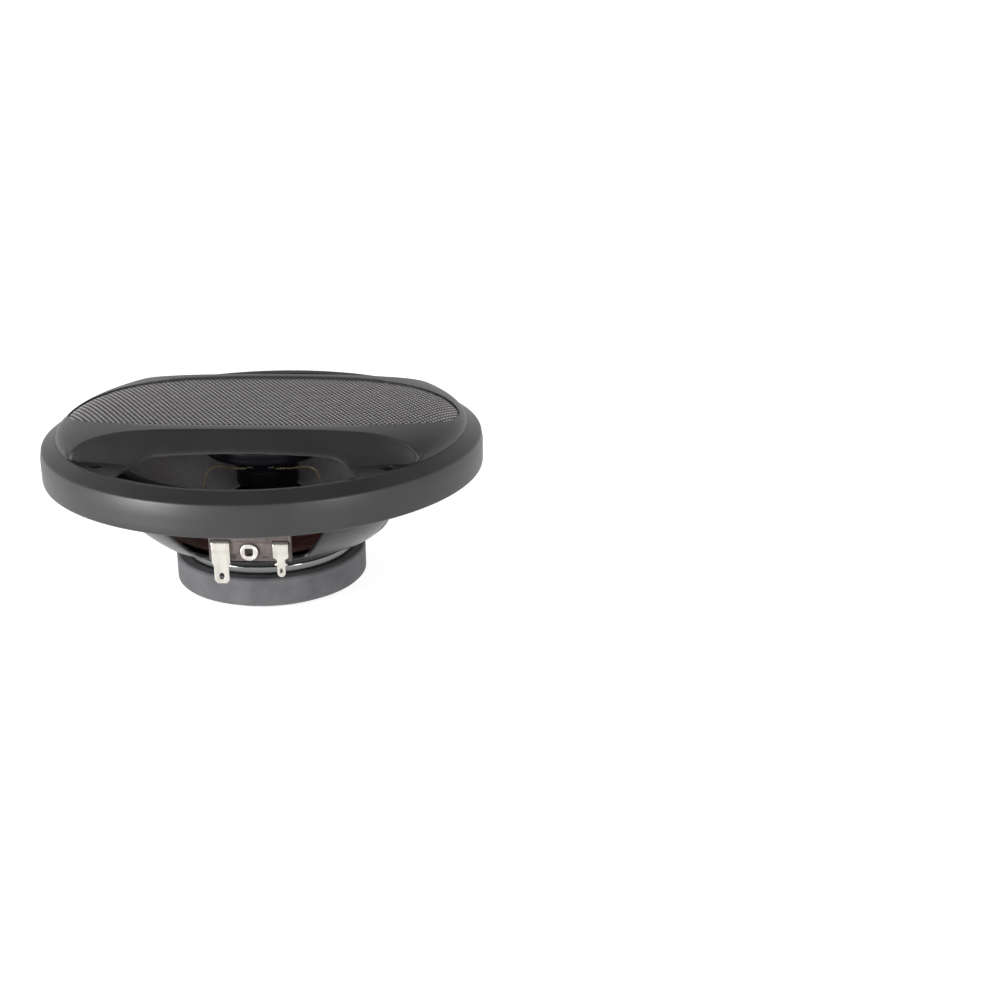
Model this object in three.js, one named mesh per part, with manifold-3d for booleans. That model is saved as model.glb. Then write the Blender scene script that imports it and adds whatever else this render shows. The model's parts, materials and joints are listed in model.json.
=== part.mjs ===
// Coaxial car speaker: a woofer with a tweeter on a post through its middle,
// behind a domed grille with a perforated band and two crescent openings.
// Millimetres, +Z out of the cone, origin at the centre of the rear plate's face.
// The terminals face -Y.
import * as THREE from 'three';
import { mergeVertices } from 'three/addons/utils/BufferGeometryUtils.js';
import { ParametricGeometry } from 'three/addons/geometries/ParametricGeometry.js';
import Module from 'manifold-3d';

const wasm = await Module();
wasm.setup();

// ---------------------------------------------------------------- driving dimensions
const fitGap = 0.3; // left between pieces that touch or are glued

const coarse = 24; // facets round small turned pieces
const medium = 40;
const fine = 48; // facets round the widest pieces

// motor
const footRadius = 30.8;
const rearPlate = { radius: 34.6, thick: 3.2, chamfer: 2.1 };
const magnet = { radius: 38.8, bore: 38, thick: 11.7, edge: 0.8 };
const topPlate = { radius: 35.2, thick: 3.7, edge: 0.6 };
const poleRadius = 14;
const boltHole = 5.2; // across, through the pole
const boltHeadWell = { across: 11, deep: 5 };

// voice coil
const coilClearance = 0.5; // pole to former, and winding to top plate
const former = { wall: 0.4, aboveNeck: 1 };
const winding = { thick: 0.6, height: 9 };

// basket
const steel = 1.2;
const panWidth = 74; // across the flat pan that sits on the motor
const panLip = 3; // from the gap's edge to the pan's bore
const ledge = { radius: 47.6, height: 5.6, slope: 0.6 }; // above the pan's rear face
const bowl = { depth: 33.9, belly: 0.72, corner: 1.2 }; // depth from the pan to the flange's rear
const flange = { radius: 82, inner: 67.2 };
const basketWindow = { sillHalf: 22, headHalf: 34, sill: 2.3, head: 6.9, corner: 2.5 }; // ledge to flange
const mountHoles = { inset: 6.6, hole: 5, angle: 44.1 }; // in from the flange's edge

// suspension and cone
const cone = { rim: 56.4, rimDrop: 2.2, depth: 15.2, paper: 0.8, collarWall: 0.6, collarDepth: 3 };
const surround = { rollHeight: 4.4, rubber: 0.8, flat: 1, seat: 0.6 };
const spider = { inset: 4.6, landing: 3.4, lift: 0.5, wave: 1.3, cloth: 0.5, waves: 4 };
const clampRing = { width: 2.4, thick: 1.8 };
const panStud = { circle: 54, radius: 2.4, height: 1.2 };
const sealRing = { inset: 0.5, width: 12, thick: 1.4 };

// tweeter
const post = { radius: 12.6, waist: 9.8, below: 4, straight: 7.1, taper: 4 }; // below the flange's front
const postBore = 4.4;
const boltEnd = 8; // from the post's top
const head = { radius: 25, hub: 3.2, knee: 19, rim: 7, face: 4.5, wall: 2, skin: 1.3 };
const dome = { radius: 9.1, rise: 3.6, film: 0.4, float: 1 };
const domeCoil = { setIn: 0.35, wall: 0.5, height: 2.6, clearance: 0.55 };
const tweeterMotor = { wall: 1.2, magnetThick: 3, poleThick: 1.4 };
const domeRoll = { width: 6, flat: 2, rise: 0.9 };
const facePlate = { lap: 1.2, thick: 1.5 };
const capacitor = { radius: 1.4, length: 9.5, circle: 28.4 };
const tag = { x: 4.2, width: 2.6, length: 2.8, metal: 0.4 };

// leads, as points outward from the middle: the left one mirrors the right one
const leadRadius = 0.5;
const tweeterLeadRoute = [ // third number: below the tweeter's head
  [5.9, -14.2, 1.3], [12, -13, 1.5], [17.6, -10.4, 1.7], [21.6, -11.4, 3.1],
];
const tweeterLeadLanding = [ // third number: above the cone
  [23.4, -14.6, 2.3], [22.8, -18.4, 1.1], [20.6, -21.6, 0.9],
];
const wooferLeadRoute = [ // third number: above the board's foot
  [11.4, -43.6, 6.7], [11.6, -39.4, 5.1], [13, -34, 5.3], [15.4, -28.6, 8.5],
];
const wooferLeadEnd = [16.8, -25];

// terminals: tab heights are measured down from the board's top
const board = { left: -15.5, right: 16.2, standOff: 0.1, thick: 1.6, height: 12.7, foot: 1.6 };
const bigTab = { x: -10.9, width: 7, blade: 5.7, top: 4.2, shoulder: 14.2, bottom: 21.5 };
const smallTab = { x: 12.1, width: 5.9, blade: 3.1, top: 4.6, shoulder: 11.8, bottom: 18.7 };
const tabMetal = 0.8;
const tabEye = { half: 0.9, low: 2.2, high: 4.4 }; // above the tab's end
const ear = { half: 6, corner: 1.5, above: 4 }; // carries the board on the rivet
const rivet = { head: 7, headThick: 0.9, shank: 3.6, square: 2.8, above: 4 };

// grille
const shell = 2; // wall of the grille frame
const skirt = { gap: 4, behind: 1.6, height: 8.8, lean: 0.6, leanHeight: 3.5 }; // gap to the flange
const lip = { inset: 6.4, height: 3.35 };
const domeRise = 9.85; // from the lip to the highest point
const domeFullness = 4; // 2 is an ellipsoid; more fills out the edge
const meshThick = 0.8;
const meshRecess = 0.7; // below the frame's surface
const band = { endMargin: 3.1, halfWidth: 34.2, squareness: 3.2 };
const well = { floorDrop: 0.85, tipAngle: 36.2, tipReach: 0.8, lean: 2 };
const wellRows = [ // share of the way to the tip, then the floor's and the dome's edge in from the tip
  [0, -9.1, 8.7], [0.31, -7.9, 8.8], [0.6, -4.8, 8.6], [0.75, -1.9, 7.9], [0.9, -0.1, 4.7], [1, -0.5, 0],
];
const slot = { setback: 0.65, half: 43.6, corner: 12, frontInset: 3 };
const screwBoss = 9.4; // across
const centringRib = { count: 8, width: 2 };

// ---------------------------------------------------------------- derived sizes
const magnetRear = rearPlate.thick + fitGap;
const magnetFront = magnetRear + magnet.thick;
const topPlateRear = magnetFront + fitGap;
const topPlateFront = topPlateRear + topPlate.thick;
const panRear = topPlateFront + fitGap;
const panFront = panRear + steel;
const ledgeRear = panRear + ledge.height;
const flangeRear = panRear + bowl.depth;
const flangeFront = flangeRear + steel;
const surroundRear = flangeFront + fitGap;
const formerInner = poleRadius + coilClearance;
const formerOuter = formerInner + former.wall;
const windingInner = formerOuter + fitGap;
const windingOuter = windingInner + winding.thick;
const gapRadius = windingOuter + coilClearance; // the top plate's bore
const windingRear = (topPlateRear + topPlateFront - winding.height) / 2;
const mountRadius = flange.radius - mountHoles.inset;
const bossReach = mountRadius - screwBoss / 2 - fitGap; // clear of the grille's screw bosses
const rimHeight = flangeFront - cone.rimDrop;
const neckHeight = rimHeight - cone.depth;
const neckRadius = formerOuter + fitGap + cone.collarWall;
const boardFront = -ledge.radius - board.standOff;
const boardBottom = ledgeRear + board.foot;
const boardTop = boardBottom + board.height;
const rivetHeight = boardBottom + rivet.above;
const grilleRadius = flange.radius + skirt.gap + shell;
const grilleRear = flangeRear - skirt.behind;
const skirtTop = grilleRear + skirt.height;
const bevelRadius = grilleRadius - skirt.lean;
const bevelTop = skirtTop + skirt.leanHeight;
const lipRadius = grilleRadius - lip.inset;
const lipHeight = bevelTop + lip.height;
const crown = lipHeight + domeRise;
const wellFloor = lipHeight - well.floorDrop;

// ---------------------------------------------------------------- shape helpers
function finish(geometry) {
  geometry.deleteAttribute('normal');
  geometry.deleteAttribute('uv');
  return mergeVertices(geometry.index ? geometry.toNonIndexed() : geometry, 1e-4);
}

function toSolid(geometry) {
  const merged = finish(geometry);
  const index = merged.index.array;
  const kept = [];
  for (let i = 0; i < index.length; i += 3) {
    const [a, b, c] = [index[i], index[i + 1], index[i + 2]];
    if (a !== b && b !== c && a !== c) kept.push(a, b, c);
  }
  return new wasm.Manifold(new wasm.Mesh({
    numProp: 3,
    vertProperties: new Float32Array(merged.attributes.position.array),
    triVerts: new Uint32Array(kept),
  }));
}

function toGeometry(solid) {
  const mesh = solid.getMesh();
  const geometry = new THREE.BufferGeometry();
  geometry.setAttribute('position', new THREE.BufferAttribute(new Float32Array(mesh.vertProperties), 3));
  geometry.setIndex(Array.from(mesh.triVerts));
  return geometry;
}

// A closed outline of [radius, height] pairs turned about Z. Its direction doesn't matter.
function turned(outline, facets = medium) {
  let area = 0;
  outline.forEach(([r, z], i) => {
    const [rNext, zNext] = outline[(i + 1) % outline.length];
    area += r * zNext - rNext * z;
  });
  const ordered = area > 0 ? outline.slice() : outline.slice().reverse();
  const start = ordered.findIndex(([r], i) => r === 0 && ordered[(i + 1) % ordered.length][0] > 0);
  const path = start > 0 ? ordered.slice(start).concat(ordered.slice(0, start)) : ordered;
  const points = path.map(([r, z]) => new THREE.Vector2(r, z));
  if (start < 0) points.push(points[0].clone());
  const geometry = new THREE.LatheGeometry(points, facets);
  geometry.rotateX(Math.PI / 2);
  return geometry;
}

function tube(innerRadius, outerRadius, rear, front, facets = medium) {
  return turned(rectangle(innerRadius, rear, outerRadius, front), facets);
}

function disc(radius, rear, front, facets = medium) {
  return turned(rectangle(0, rear, radius, front), facets);
}

function rectangle(left, low, right, high) {
  return [[left, low], [right, low], [right, high], [left, high]];
}

// A flat outline of [x, y] pairs raised from one height to another.
function prism(outline, rear, front) {
  const shape = new THREE.Shape(outline.map(([x, y]) => new THREE.Vector2(x, y)));
  const geometry = new THREE.ExtrudeGeometry(shape, { depth: front - rear, bevelEnabled: false });
  geometry.translate(0, 0, rear);
  return geometry;
}

// A flat outline of [x, z] pairs, given depth from yFront back to yBack.
function slab(outline, yFront, yBack) {
  const shape = new THREE.Shape(outline.map(([x, z]) => new THREE.Vector2(x, z)));
  const geometry = new THREE.ExtrudeGeometry(shape, { depth: yBack - yFront, bevelEnabled: false });
  geometry.rotateX(Math.PI / 2);
  geometry.translate(0, yBack, 0);
  return geometry;
}

function rod(points, radius, steps, sides = 8) {
  const circle = new THREE.Shape();
  circle.absarc(0, 0, radius, 0, 2 * Math.PI);
  const path = new THREE.CatmullRomCurve3(points.map((p) => new THREE.Vector3(...p)));
  return new THREE.ExtrudeGeometry(circle, {
    steps, extrudePath: path, curveSegments: sides / 2, bevelEnabled: false,
  });
}

function cut(geometry, ...tools) {
  return toGeometry(tools.reduce((solid, tool) => solid.subtract(toSolid(tool)), toSolid(geometry)));
}

function joined(geometry, ...others) {
  return toGeometry(others.reduce((solid, other) => solid.add(toSolid(other)), toSolid(geometry)));
}

function common(geometry, other) {
  return toGeometry(toSolid(geometry).intersect(toSolid(other)));
}

function moved(geometry, x, y, z = 0) {
  return geometry.translate(x, y, z);
}

function spun(geometry, degrees) {
  return geometry.rotateZ(THREE.MathUtils.degToRad(degrees));
}

// The four mounting screws' places, [x, y].
const screwPlaces = [-1, 1].flatMap((side) => {
  const angle = THREE.MathUtils.degToRad(mountHoles.angle);
  const x = side * mountRadius * Math.cos(angle);
  const y = mountRadius * Math.sin(angle);
  return [[x, -y], [x, y]];
});

// ---------------------------------------------------------------- materials
const finishes = {
  moulded: { color: 0x1d1d20, roughness: 0.5, metalness: 0 },
  meshPaint: { color: 0x141416, roughness: 0.45, metalness: 0.2 },
  basketPaint: { color: 0x0d0d0f, roughness: 0.25, metalness: 0.1 },
  ferrite: { color: 0x6f7073, roughness: 0.55, metalness: 0.1 },
  zinc: { color: 0xc4c6c8, roughness: 0.3, metalness: 0.9 },
  tin: { color: 0xd8d4c8, roughness: 0.35, metalness: 0.9 },
  phenolic: { color: 0x5a4c48, roughness: 0.7, metalness: 0 },
  conePaper: { color: 0x2b2a2c, roughness: 0.6, metalness: 0 },
  rubber: { color: 0x161616, roughness: 0.8, metalness: 0 },
  spiderCloth: { color: 0x9a4a34, roughness: 0.9, metalness: 0 },
  gasketFoam: { color: 0x222222, roughness: 0.95, metalness: 0 },
  formerFilm: { color: 0x9a8f80, roughness: 0.5, metalness: 0.3 },
  copper: { color: 0xa85a32, roughness: 0.35, metalness: 0.9 },
  tweeterPlastic: { color: 0x08080c, roughness: 0.4, metalness: 0 },
  domeFilm: { color: 0xb9b2a0, roughness: 0.4, metalness: 0.1 },
  braid: { color: 0xb8a384, roughness: 0.5, metalness: 0.5 },
  capacitorSleeve: { color: 0x1e3f66, roughness: 0.4, metalness: 0 },
};

const speaker = new THREE.Group();

function add(name, finishName, geometry) {
  const mesh = new THREE.Mesh(geometry, new THREE.MeshStandardMaterial(finishes[finishName]));
  mesh.name = name;
  speaker.add(mesh);
}

// ---------------------------------------------------------------- motor
function yoke() {
  const body = turned([
    [0, 0], [footRadius, 0], [rearPlate.radius, rearPlate.chamfer], [rearPlate.radius, rearPlate.thick],
    [poleRadius, rearPlate.thick], [poleRadius, topPlateFront], [0, topPlateFront],
  ]);
  const through = disc(boltHole / 2, -1, topPlateFront + 1, coarse);
  const headWell = disc(boltHeadWell.across / 2, -1, boltHeadWell.deep, coarse);
  return cut(body, through, headWell);
}

add('rear_plate_and_pole', 'zinc', yoke());
add('magnet', 'ferrite', turned([
  [magnet.bore / 2, magnetRear], [magnet.radius - magnet.edge, magnetRear],
  [magnet.radius, magnetRear + magnet.edge], [magnet.radius, magnetFront - magnet.edge],
  [magnet.radius - magnet.edge, magnetFront], [magnet.bore / 2, magnetFront],
]));
add('top_plate', 'zinc', turned([
  [gapRadius, topPlateRear], [topPlate.radius - topPlate.edge, topPlateRear],
  [topPlate.radius, topPlateRear + topPlate.edge], [topPlate.radius, topPlateFront - topPlate.edge],
  [topPlate.radius - topPlate.edge, topPlateFront], [gapRadius, topPlateFront],
]));

// ---------------------------------------------------------------- basket
const panRadius = panWidth / 2;
const panBore = gapRadius + panLip;

// Outer face of the pressed bowl, from the pan to the flange, as [radius, height].
function bowlLine() {
  const { corner, belly } = bowl;
  const rise = flangeRear - corner - ledgeRear - ledge.slope;
  const reach = flange.inner - corner / 2 - ledge.radius;
  const steps = 5;
  const curved = Array.from({ length: steps + 1 }, (_, i) => {
    const t = i / steps;
    return [ledge.radius + reach * t * (1 + belly * (1 - t)), ledgeRear + ledge.slope + rise * t];
  });
  return [
    [panRadius - 1, panRear], [panRadius, panRear + 1], [panRadius + 0.8, ledgeRear - corner],
    [panRadius + 2, ledgeRear], ...curved, [flange.inner + corner / 2, flangeRear],
  ];
}

function offsetInwards(path, distance) {
  return path.map(([r, z], i) => {
    const [r0, z0] = path[Math.max(i - 1, 0)];
    const [r1, z1] = path[Math.min(i + 1, path.length - 1)];
    const length = Math.hypot(r1 - r0, z1 - z0);
    return [r - (z1 - z0) / length * distance, z + (r1 - r0) / length * distance];
  });
}

const boardBack = boardFront + board.thick;
const earFront = boardBack + fitGap;
const earBack = earFront + steel;

function basket() {
  const outer = bowlLine();
  const inside = offsetInwards(outer, steel).slice(0, -1).reverse();
  const pressed = turned([
    [panBore, panRear], ...outer, [flange.radius, flangeRear], [flange.radius, flangeFront],
    ...inside.map(([r, z]) => [r, Math.min(z, flangeFront)]), [panBore, panFront],
  ], fine);
  const { sillHalf, headHalf, corner } = basketWindow;
  const sill = ledgeRear + basketWindow.sill;
  const windowHead = flangeRear - basketWindow.head;
  const opening = () => slab([
    [-sillHalf - corner / 2, sill + corner], [-sillHalf + corner, sill], [sillHalf - corner, sill],
    [sillHalf + corner / 2, sill + corner], [headHalf, windowHead], [-headHalf, windowHead],
  ], -flange.radius, -panRadius);
  const windows = [0, 90, 180, 270].map((turn) => spun(opening(), turn));
  const boardSeat = slab([
    [board.left - fitGap, boardBottom - fitGap], [board.right + fitGap, boardBottom - fitGap],
    [board.right + fitGap, boardTop], [board.left - fitGap, boardTop],
  ], -flange.radius, earFront);
  const holes = screwPlaces.map(([x, y]) => (
    moved(disc(mountHoles.hole / 2, flangeRear - 1, flangeFront + 1, 16), x, y)));
  return cut(pressed, ...windows, boardSeat, ...holes);
}

// The ear that carries the terminal board stands up from the front window's sill.
function basketWithEar() {
  const foot = ledgeRear + steel / 2;
  const top = rivetHeight + ear.above;
  const { half, corner } = ear;
  const upright = slab([
    [-half, foot], [half, foot], [half, top - corner], [half - corner, top],
    [corner - half, top], [-half, top - corner],
  ], earFront, earBack);
  return cut(joined(basket(), upright), acrossDisc(rivet.shank / 2 + fitGap, earFront - 1, earBack + 1));
}

// A disc on the rivet's axis, which runs along Y.
function acrossDisc(radius, yFront, yBack, facets = 16) {
  return disc(radius, 0, yBack - yFront, facets).rotateX(-Math.PI / 2).translate(0, yFront, rivetHeight);
}

add('basket', 'basketPaint', basketWithEar());
const sealOuter = flange.radius - sealRing.inset;
const sealFront = flangeRear - fitGap;
const sealHoleSlack = 0.6;
add('mounting_seal', 'gasketFoam', cut(
  tube(sealOuter - sealRing.width, sealOuter, sealFront - sealRing.thick, sealFront, fine),
  ...screwPlaces.map(([x, y]) => moved(
    disc(mountHoles.hole / 2 + sealHoleSlack, grilleRear - 1, flangeFront, 16), x, y)),
));

// Staked stud heads that hold the pan to the top plate, inside the basket.
[45, 135, 225, 315].forEach((degrees, i) => {
  const rear = panFront + fitGap;
  const { radius, height } = panStud;
  const shoulder = [radius * 0.8, rear + height * 0.75];
  const stud = turned([[0, rear], [radius, rear], shoulder, [0, rear + height]], 16);
  add(`pan_stud_${i + 1}`, 'zinc', spun(moved(stud, panStud.circle / 2, 0), degrees));
});

// ---------------------------------------------------------------- terminals
const tabFront = boardFront - fitGap - tabMetal;
const tabBack = boardFront - fitGap;
const tailBack = boardBack + fitGap + tabMetal;

function tabOutline(tab) {
  const [half, blade] = [tab.width / 2, tab.blade / 2];
  const [top, shoulder, end] = [boardTop - tab.top, boardTop - tab.shoulder, boardTop - tab.bottom];
  const tip = blade * 0.45;
  return [
    [-half, top], [-half, shoulder + 1], [-blade, shoulder], [-blade, end + tip],
    [-blade + tip, end], [blade - tip, end], [blade, end + tip],
    [blade, shoulder], [half, shoulder + 1], [half, top],
  ];
}

// The tab folds over through a slot in the board and ends in a short tail behind it.
function tabBody(tab) {
  const half = tab.width / 2;
  const top = boardTop - tab.top;
  const end = boardTop - tab.bottom;
  const tailLength = 3.4;
  const blade = slab(tabOutline(tab), tabFront, tabBack);
  const bridge = slab(rectangle(-half, top - tabMetal, half, top), tabFront, tailBack);
  const tail = slab(rectangle(-half, top - tailLength, half, top), tailBack - tabMetal, tailBack);
  const eyeOutline = rectangle(-tabEye.half, end + tabEye.low, tabEye.half, end + tabEye.high);
  const eye = slab(eyeOutline, tabFront - 1, tabBack + 1);
  return moved(cut(joined(blade, bridge, tail), eye), tab.x, 0);
}

function boardBody() {
  const plate = slab(rectangle(board.left, boardBottom, board.right, boardTop), boardFront, boardBack);
  const slots = [bigTab, smallTab].map((tab) => {
    const half = tab.width / 2 + fitGap;
    const top = boardTop - tab.top;
    const opening = rectangle(-half, top - tabMetal - fitGap, half, top + fitGap);
    return moved(slab(opening, boardFront - 1, boardBack + 1), tab.x, 0);
  });
  return cut(plate, ...slots, acrossDisc(rivet.shank / 2 + fitGap, boardFront - 1, boardBack + 1));
}

function rivetBody() {
  const front = boardFront - fitGap;
  const rear = earBack + fitGap;
  const flat = rivet.square / 2;
  const bite = 0.2; // the heads run this far onto the shank
  const square = slab(rectangle(-flat, rivetHeight - flat, flat, rivetHeight + flat), front - 2, front + 0.6);
  return cut(joined(
    acrossDisc(rivet.shank / 2, front - bite, rear + bite),
    acrossDisc(rivet.head / 2, front - rivet.headThick, front, 24),
    acrossDisc(rivet.head / 2 - 1, rear, rear + rivet.headThick),
  ), square);
}

add('terminal_board', 'phenolic', boardBody());
add('terminal_positive', 'tin', tabBody(bigTab));
add('terminal_negative', 'tin', tabBody(smallTab));
add('board_rivet', 'tin', rivetBody());

// ---------------------------------------------------------------- voice coil, cone and suspension
const formerTop = neckHeight + former.aboveNeck;
add('voice_coil_former', 'formerFilm', tube(formerInner, formerOuter, windingRear, formerTop));
add('voice_coil', 'copper', tube(windingInner, windingOuter, windingRear, windingRear + winding.height));

const coneReach = cone.rim - neckRadius;

function coneFrontHeight(radius) {
  const t = (radius - neckRadius) / coneReach;
  return neckHeight + cone.depth * (1.5 * t - 0.5 * t * t);
}

function coneBody() {
  const steps = 4;
  const radii = Array.from({ length: steps + 1 }, (_, i) => neckRadius + coneReach * i / steps);
  const front = radii.map((r) => [r, coneFrontHeight(r)]);
  const rear = radii.map((r) => [r, coneFrontHeight(r) - cone.paper]);
  const collar = neckRadius - cone.collarWall;
  return turned([
    [collar, neckHeight], [collar, neckHeight - cone.collarDepth],
    [neckRadius, neckHeight - cone.collarDepth], ...rear, ...front.reverse(),
  ]);
}
add('cone', 'conePaper', coneBody());

// A half-roll of rubber from the cone's rim to the flange, flat where it is glued to each.
function surroundRing() {
  const { rollHeight, rubber, flat, seat } = surround;
  const rollFrom = cone.rim + flat;
  const rollTo = flange.inner - seat;
  const base = surroundRear;
  const middle = (rollFrom + rollTo) / 2;
  const half = (rollTo - rollFrom) / 2;
  const steps = 5;
  const arc = (radius, height, lift) => Array.from({ length: steps + 1 }, (_, i) => {
    const angle = Math.PI * (1 - i / steps);
    return [middle + radius * Math.cos(angle), base + lift + height * Math.sin(angle)];
  });
  const bead = cone.rim + fitGap;
  return turned([
    [bead, rimHeight - cone.paper], [rollFrom, rimHeight - cone.paper],
    ...arc(half - rubber, rollHeight, 0), [bossReach, base], [bossReach, base + rubber],
    ...arc(half, rollHeight, rubber).reverse(), [bead, base + rubber],
  ]);
}
add('surround', 'rubber', surroundRing());

function spiderDisc() {
  const inner = formerOuter + fitGap;
  const outer = ledge.radius - spider.inset;
  const rear = ledgeRear + ledge.slope + steel + spider.lift;
  const steps = spider.waves * 2;
  const line = Array.from({ length: steps + 1 }, (_, i) => [
    inner + (outer - spider.landing - inner) * i / steps,
    rear + (i % 2 ? spider.wave : 0),
  ]);
  line.push([outer, rear]);
  return turned([...line, ...line.slice().reverse().map(([r, z]) => [r, z + spider.cloth])], coarse);
}
add('spider', 'spiderCloth', spiderDisc());

const clampRear = surroundRear + surround.rubber + fitGap;
add('clamp_ring', 'gasketFoam',
  tube(bossReach - clampRing.width, bossReach, clampRear, clampRear + clampRing.thick));

// ---------------------------------------------------------------- tweeter
const postFoot = topPlateFront + fitGap;
const postTop = flangeFront - post.below;
const boltTop = postTop - boltEnd;

function postBody() {
  const shoulder = postTop - post.straight;
  const body = turned([
    [0, postFoot], [post.waist, postFoot], [post.waist, shoulder - post.taper],
    [post.radius, shoulder], [post.radius, postTop], [0, postTop],
  ], coarse);
  return cut(body, disc(postBore / 2, postFoot - 1, boltTop + fitGap, coarse));
}

function boltBody() {
  const shank = postBore / 2 - fitGap;
  const headRadius = boltHeadWell.across / 2 - 1;
  const headRear = 1.2;
  const headFront = boltHeadWell.deep - fitGap;
  return turned([
    [0, headRear], [headRadius, headRear], [headRadius, headFront],
    [shank, headFront], [shank, boltTop], [0, boltTop],
  ], 16);
}

const headRear = postTop + fitGap;
const dishRear = headRear + head.hub;
const headInside = head.radius - head.wall;
const headRim = headRear + head.rim;
const insideStep = headRim + 0.8; // where the head's straight inner wall starts

// A shallow dish with a straight collar, on a hub that holds the motor's cup.
function headBody() {
  const { radius, knee, face, wall, skin } = head;
  const hubInside = cupRadius + fitGap;
  return turned([
    [0, headRear], [post.radius, headRear], [post.radius, dishRear], [knee, dishRear + 0.9],
    [radius - 0.6, headRim - 0.8], [radius, headRim], [radius, headRim + face], [headInside, headRim + face],
    [headInside, insideStep], [knee + 0.5, dishRear + skin + 0.9], [knee - 4, dishRear + skin],
    [hubInside, dishRear + skin], [hubInside, headRear + wall], [0, headRear + wall],
  ]);
}

const coilInside = dome.radius - domeCoil.setIn;
const coilOutside = coilInside + domeCoil.wall;
const motorRadius = coilInside - domeCoil.clearance;
const cupRadius = coilOutside + domeCoil.clearance + tweeterMotor.wall;
const cupRear = headRear + head.wall + fitGap;
const tweeterMagnetRear = cupRear + tweeterMotor.wall + fitGap;
const tweeterPoleRear = tweeterMagnetRear + tweeterMotor.magnetThick + fitGap;
const tweeterMotorFront = tweeterPoleRear + tweeterMotor.poleThick;
const domeBase = tweeterMotorFront + dome.float;
const domeRollInner = dome.radius + fitGap;
const domeRollOuter = domeRollInner + domeRoll.width;

function cupBody() {
  const { wall } = tweeterMotor;
  return turned([
    [0, cupRear], [cupRadius, cupRear], [cupRadius, tweeterMotorFront], [cupRadius - wall, tweeterMotorFront],
    [cupRadius - wall, cupRear + wall], [0, cupRear + wall],
  ], coarse);
}

function domeBody() {
  const { radius, rise, film } = dome;
  const sphere = (radius * radius + rise * rise) / (2 * rise);
  const steps = 4;
  const outside = Array.from({ length: steps + 1 }, (_, i) => {
    const r = radius * (1 - i / steps);
    return [r, domeBase + Math.sqrt(sphere * sphere - r * r) - sphere + rise + film];
  });
  const inside = outside.slice().reverse().map(([r, z]) => [r, z - film]);
  return turned([...outside, ...inside], coarse);
}

function domeRollBody() {
  const { flat, rise } = domeRoll;
  const edge = domeRollOuter - flat;
  const rear = [
    [domeRollInner, domeBase], [(domeRollInner + edge) / 2, domeBase + rise],
    [edge, domeBase], [domeRollOuter, domeBase],
  ];
  return turned([...rear, ...rear.slice().reverse().map(([r, z]) => [r, z + dome.film])], coarse);
}

function capacitorBody() {
  const { radius, length, circle } = capacitor;
  const can = disc(radius, -length / 2, length / 2, 16).rotateX(Math.PI / 2).rotateZ(Math.PI / 2);
  return can.translate(0, circle / 2, dishRear + head.skin + fitGap + radius);
}

add('tweeter_post', 'tweeterPlastic', postBody());
add('tweeter_bolt', 'zinc', boltBody());
add('tweeter_housing', 'tweeterPlastic', headBody());
add('tweeter_cup', 'zinc', cupBody());
add('tweeter_magnet', 'ferrite', disc(
  motorRadius, tweeterMagnetRear, tweeterMagnetRear + tweeterMotor.magnetThick, coarse));
add('tweeter_pole_plate', 'zinc', disc(motorRadius, tweeterPoleRear, tweeterMotorFront, coarse));
add('tweeter_carrier', 'tweeterPlastic', tube(
  cupRadius + fitGap, headInside - fitGap, insideStep + fitGap, domeBase - fitGap, coarse));
add('tweeter_dome', 'domeFilm', domeBody());
add('tweeter_dome_roll', 'domeFilm', domeRollBody());
const coilFront = domeBase - fitGap;
add('tweeter_coil', 'copper', tube(coilInside, coilOutside, coilFront - domeCoil.height, coilFront, coarse));
const facePlateRear = domeBase + dome.film + fitGap;
add('tweeter_face_plate', 'tweeterPlastic', tube(
  domeRollOuter - facePlate.lap, headInside - fitGap,
  facePlateRear, facePlateRear + facePlate.thick, coarse));
add('tweeter_capacitor', 'capacitorSleeve', capacitorBody());

// ---------------------------------------------------------------- leads
// The tweeter's lead hangs from its tag and lands on the cone.
function tweeterLead(side) {
  const hung = tweeterLeadRoute.map(([x, y, drop]) => [side * x, y, dishRear - drop]);
  const landed = tweeterLeadLanding.map(([x, y, rise]) => (
    [side * x, y, coneFrontHeight(Math.hypot(x, y)) + rise]));
  return rod([...hung, ...landed], leadRadius, 14, 6);
}

// The woofer's lead runs from the board to the underside of the cone.
function wooferLead(side) {
  const run = wooferLeadRoute.map(([x, y, rise]) => [side * x, y, boardBottom + rise]);
  const [x, y] = wooferLeadEnd;
  const underCone = coneFrontHeight(Math.hypot(x, y)) - cone.paper - leadRadius - fitGap;
  return rod([...run, [side * x, y, underCone]], leadRadius, 9, 6);
}

[['left', -1], ['right', 1]].forEach(([name, side]) => {
  const front = -post.radius - fitGap;
  const tagTop = dishRear - fitGap;
  const tagOutline = rectangle(-tag.width / 2, tagTop - tag.metal, tag.width / 2, tagTop);
  const tagBody = slab(tagOutline, front - tag.length, front);
  add(`tweeter_tag_${name}`, 'tin', moved(tagBody, side * tag.x, 0));
  add(`tweeter_lead_${name}`, 'braid', tweeterLead(side));
  add(`woofer_lead_${name}`, 'braid', wooferLead(side));
});

// ---------------------------------------------------------------- grille
// The dome is a low ellipsoid, filled out towards its edge, that springs from the lip.
function domeLine(radius, base, steps) {
  return Array.from({ length: steps + 1 }, (_, i) => {
    const angle = Math.PI / 2 * (i / steps);
    return [radius * Math.cos(angle) ** (2 / domeFullness), base + domeRise * Math.sin(angle)];
  });
}

function domeHeight(radius) {
  return lipHeight + domeRise * Math.sqrt(Math.max(0, 1 - (radius / lipRadius) ** domeFullness));
}

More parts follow.
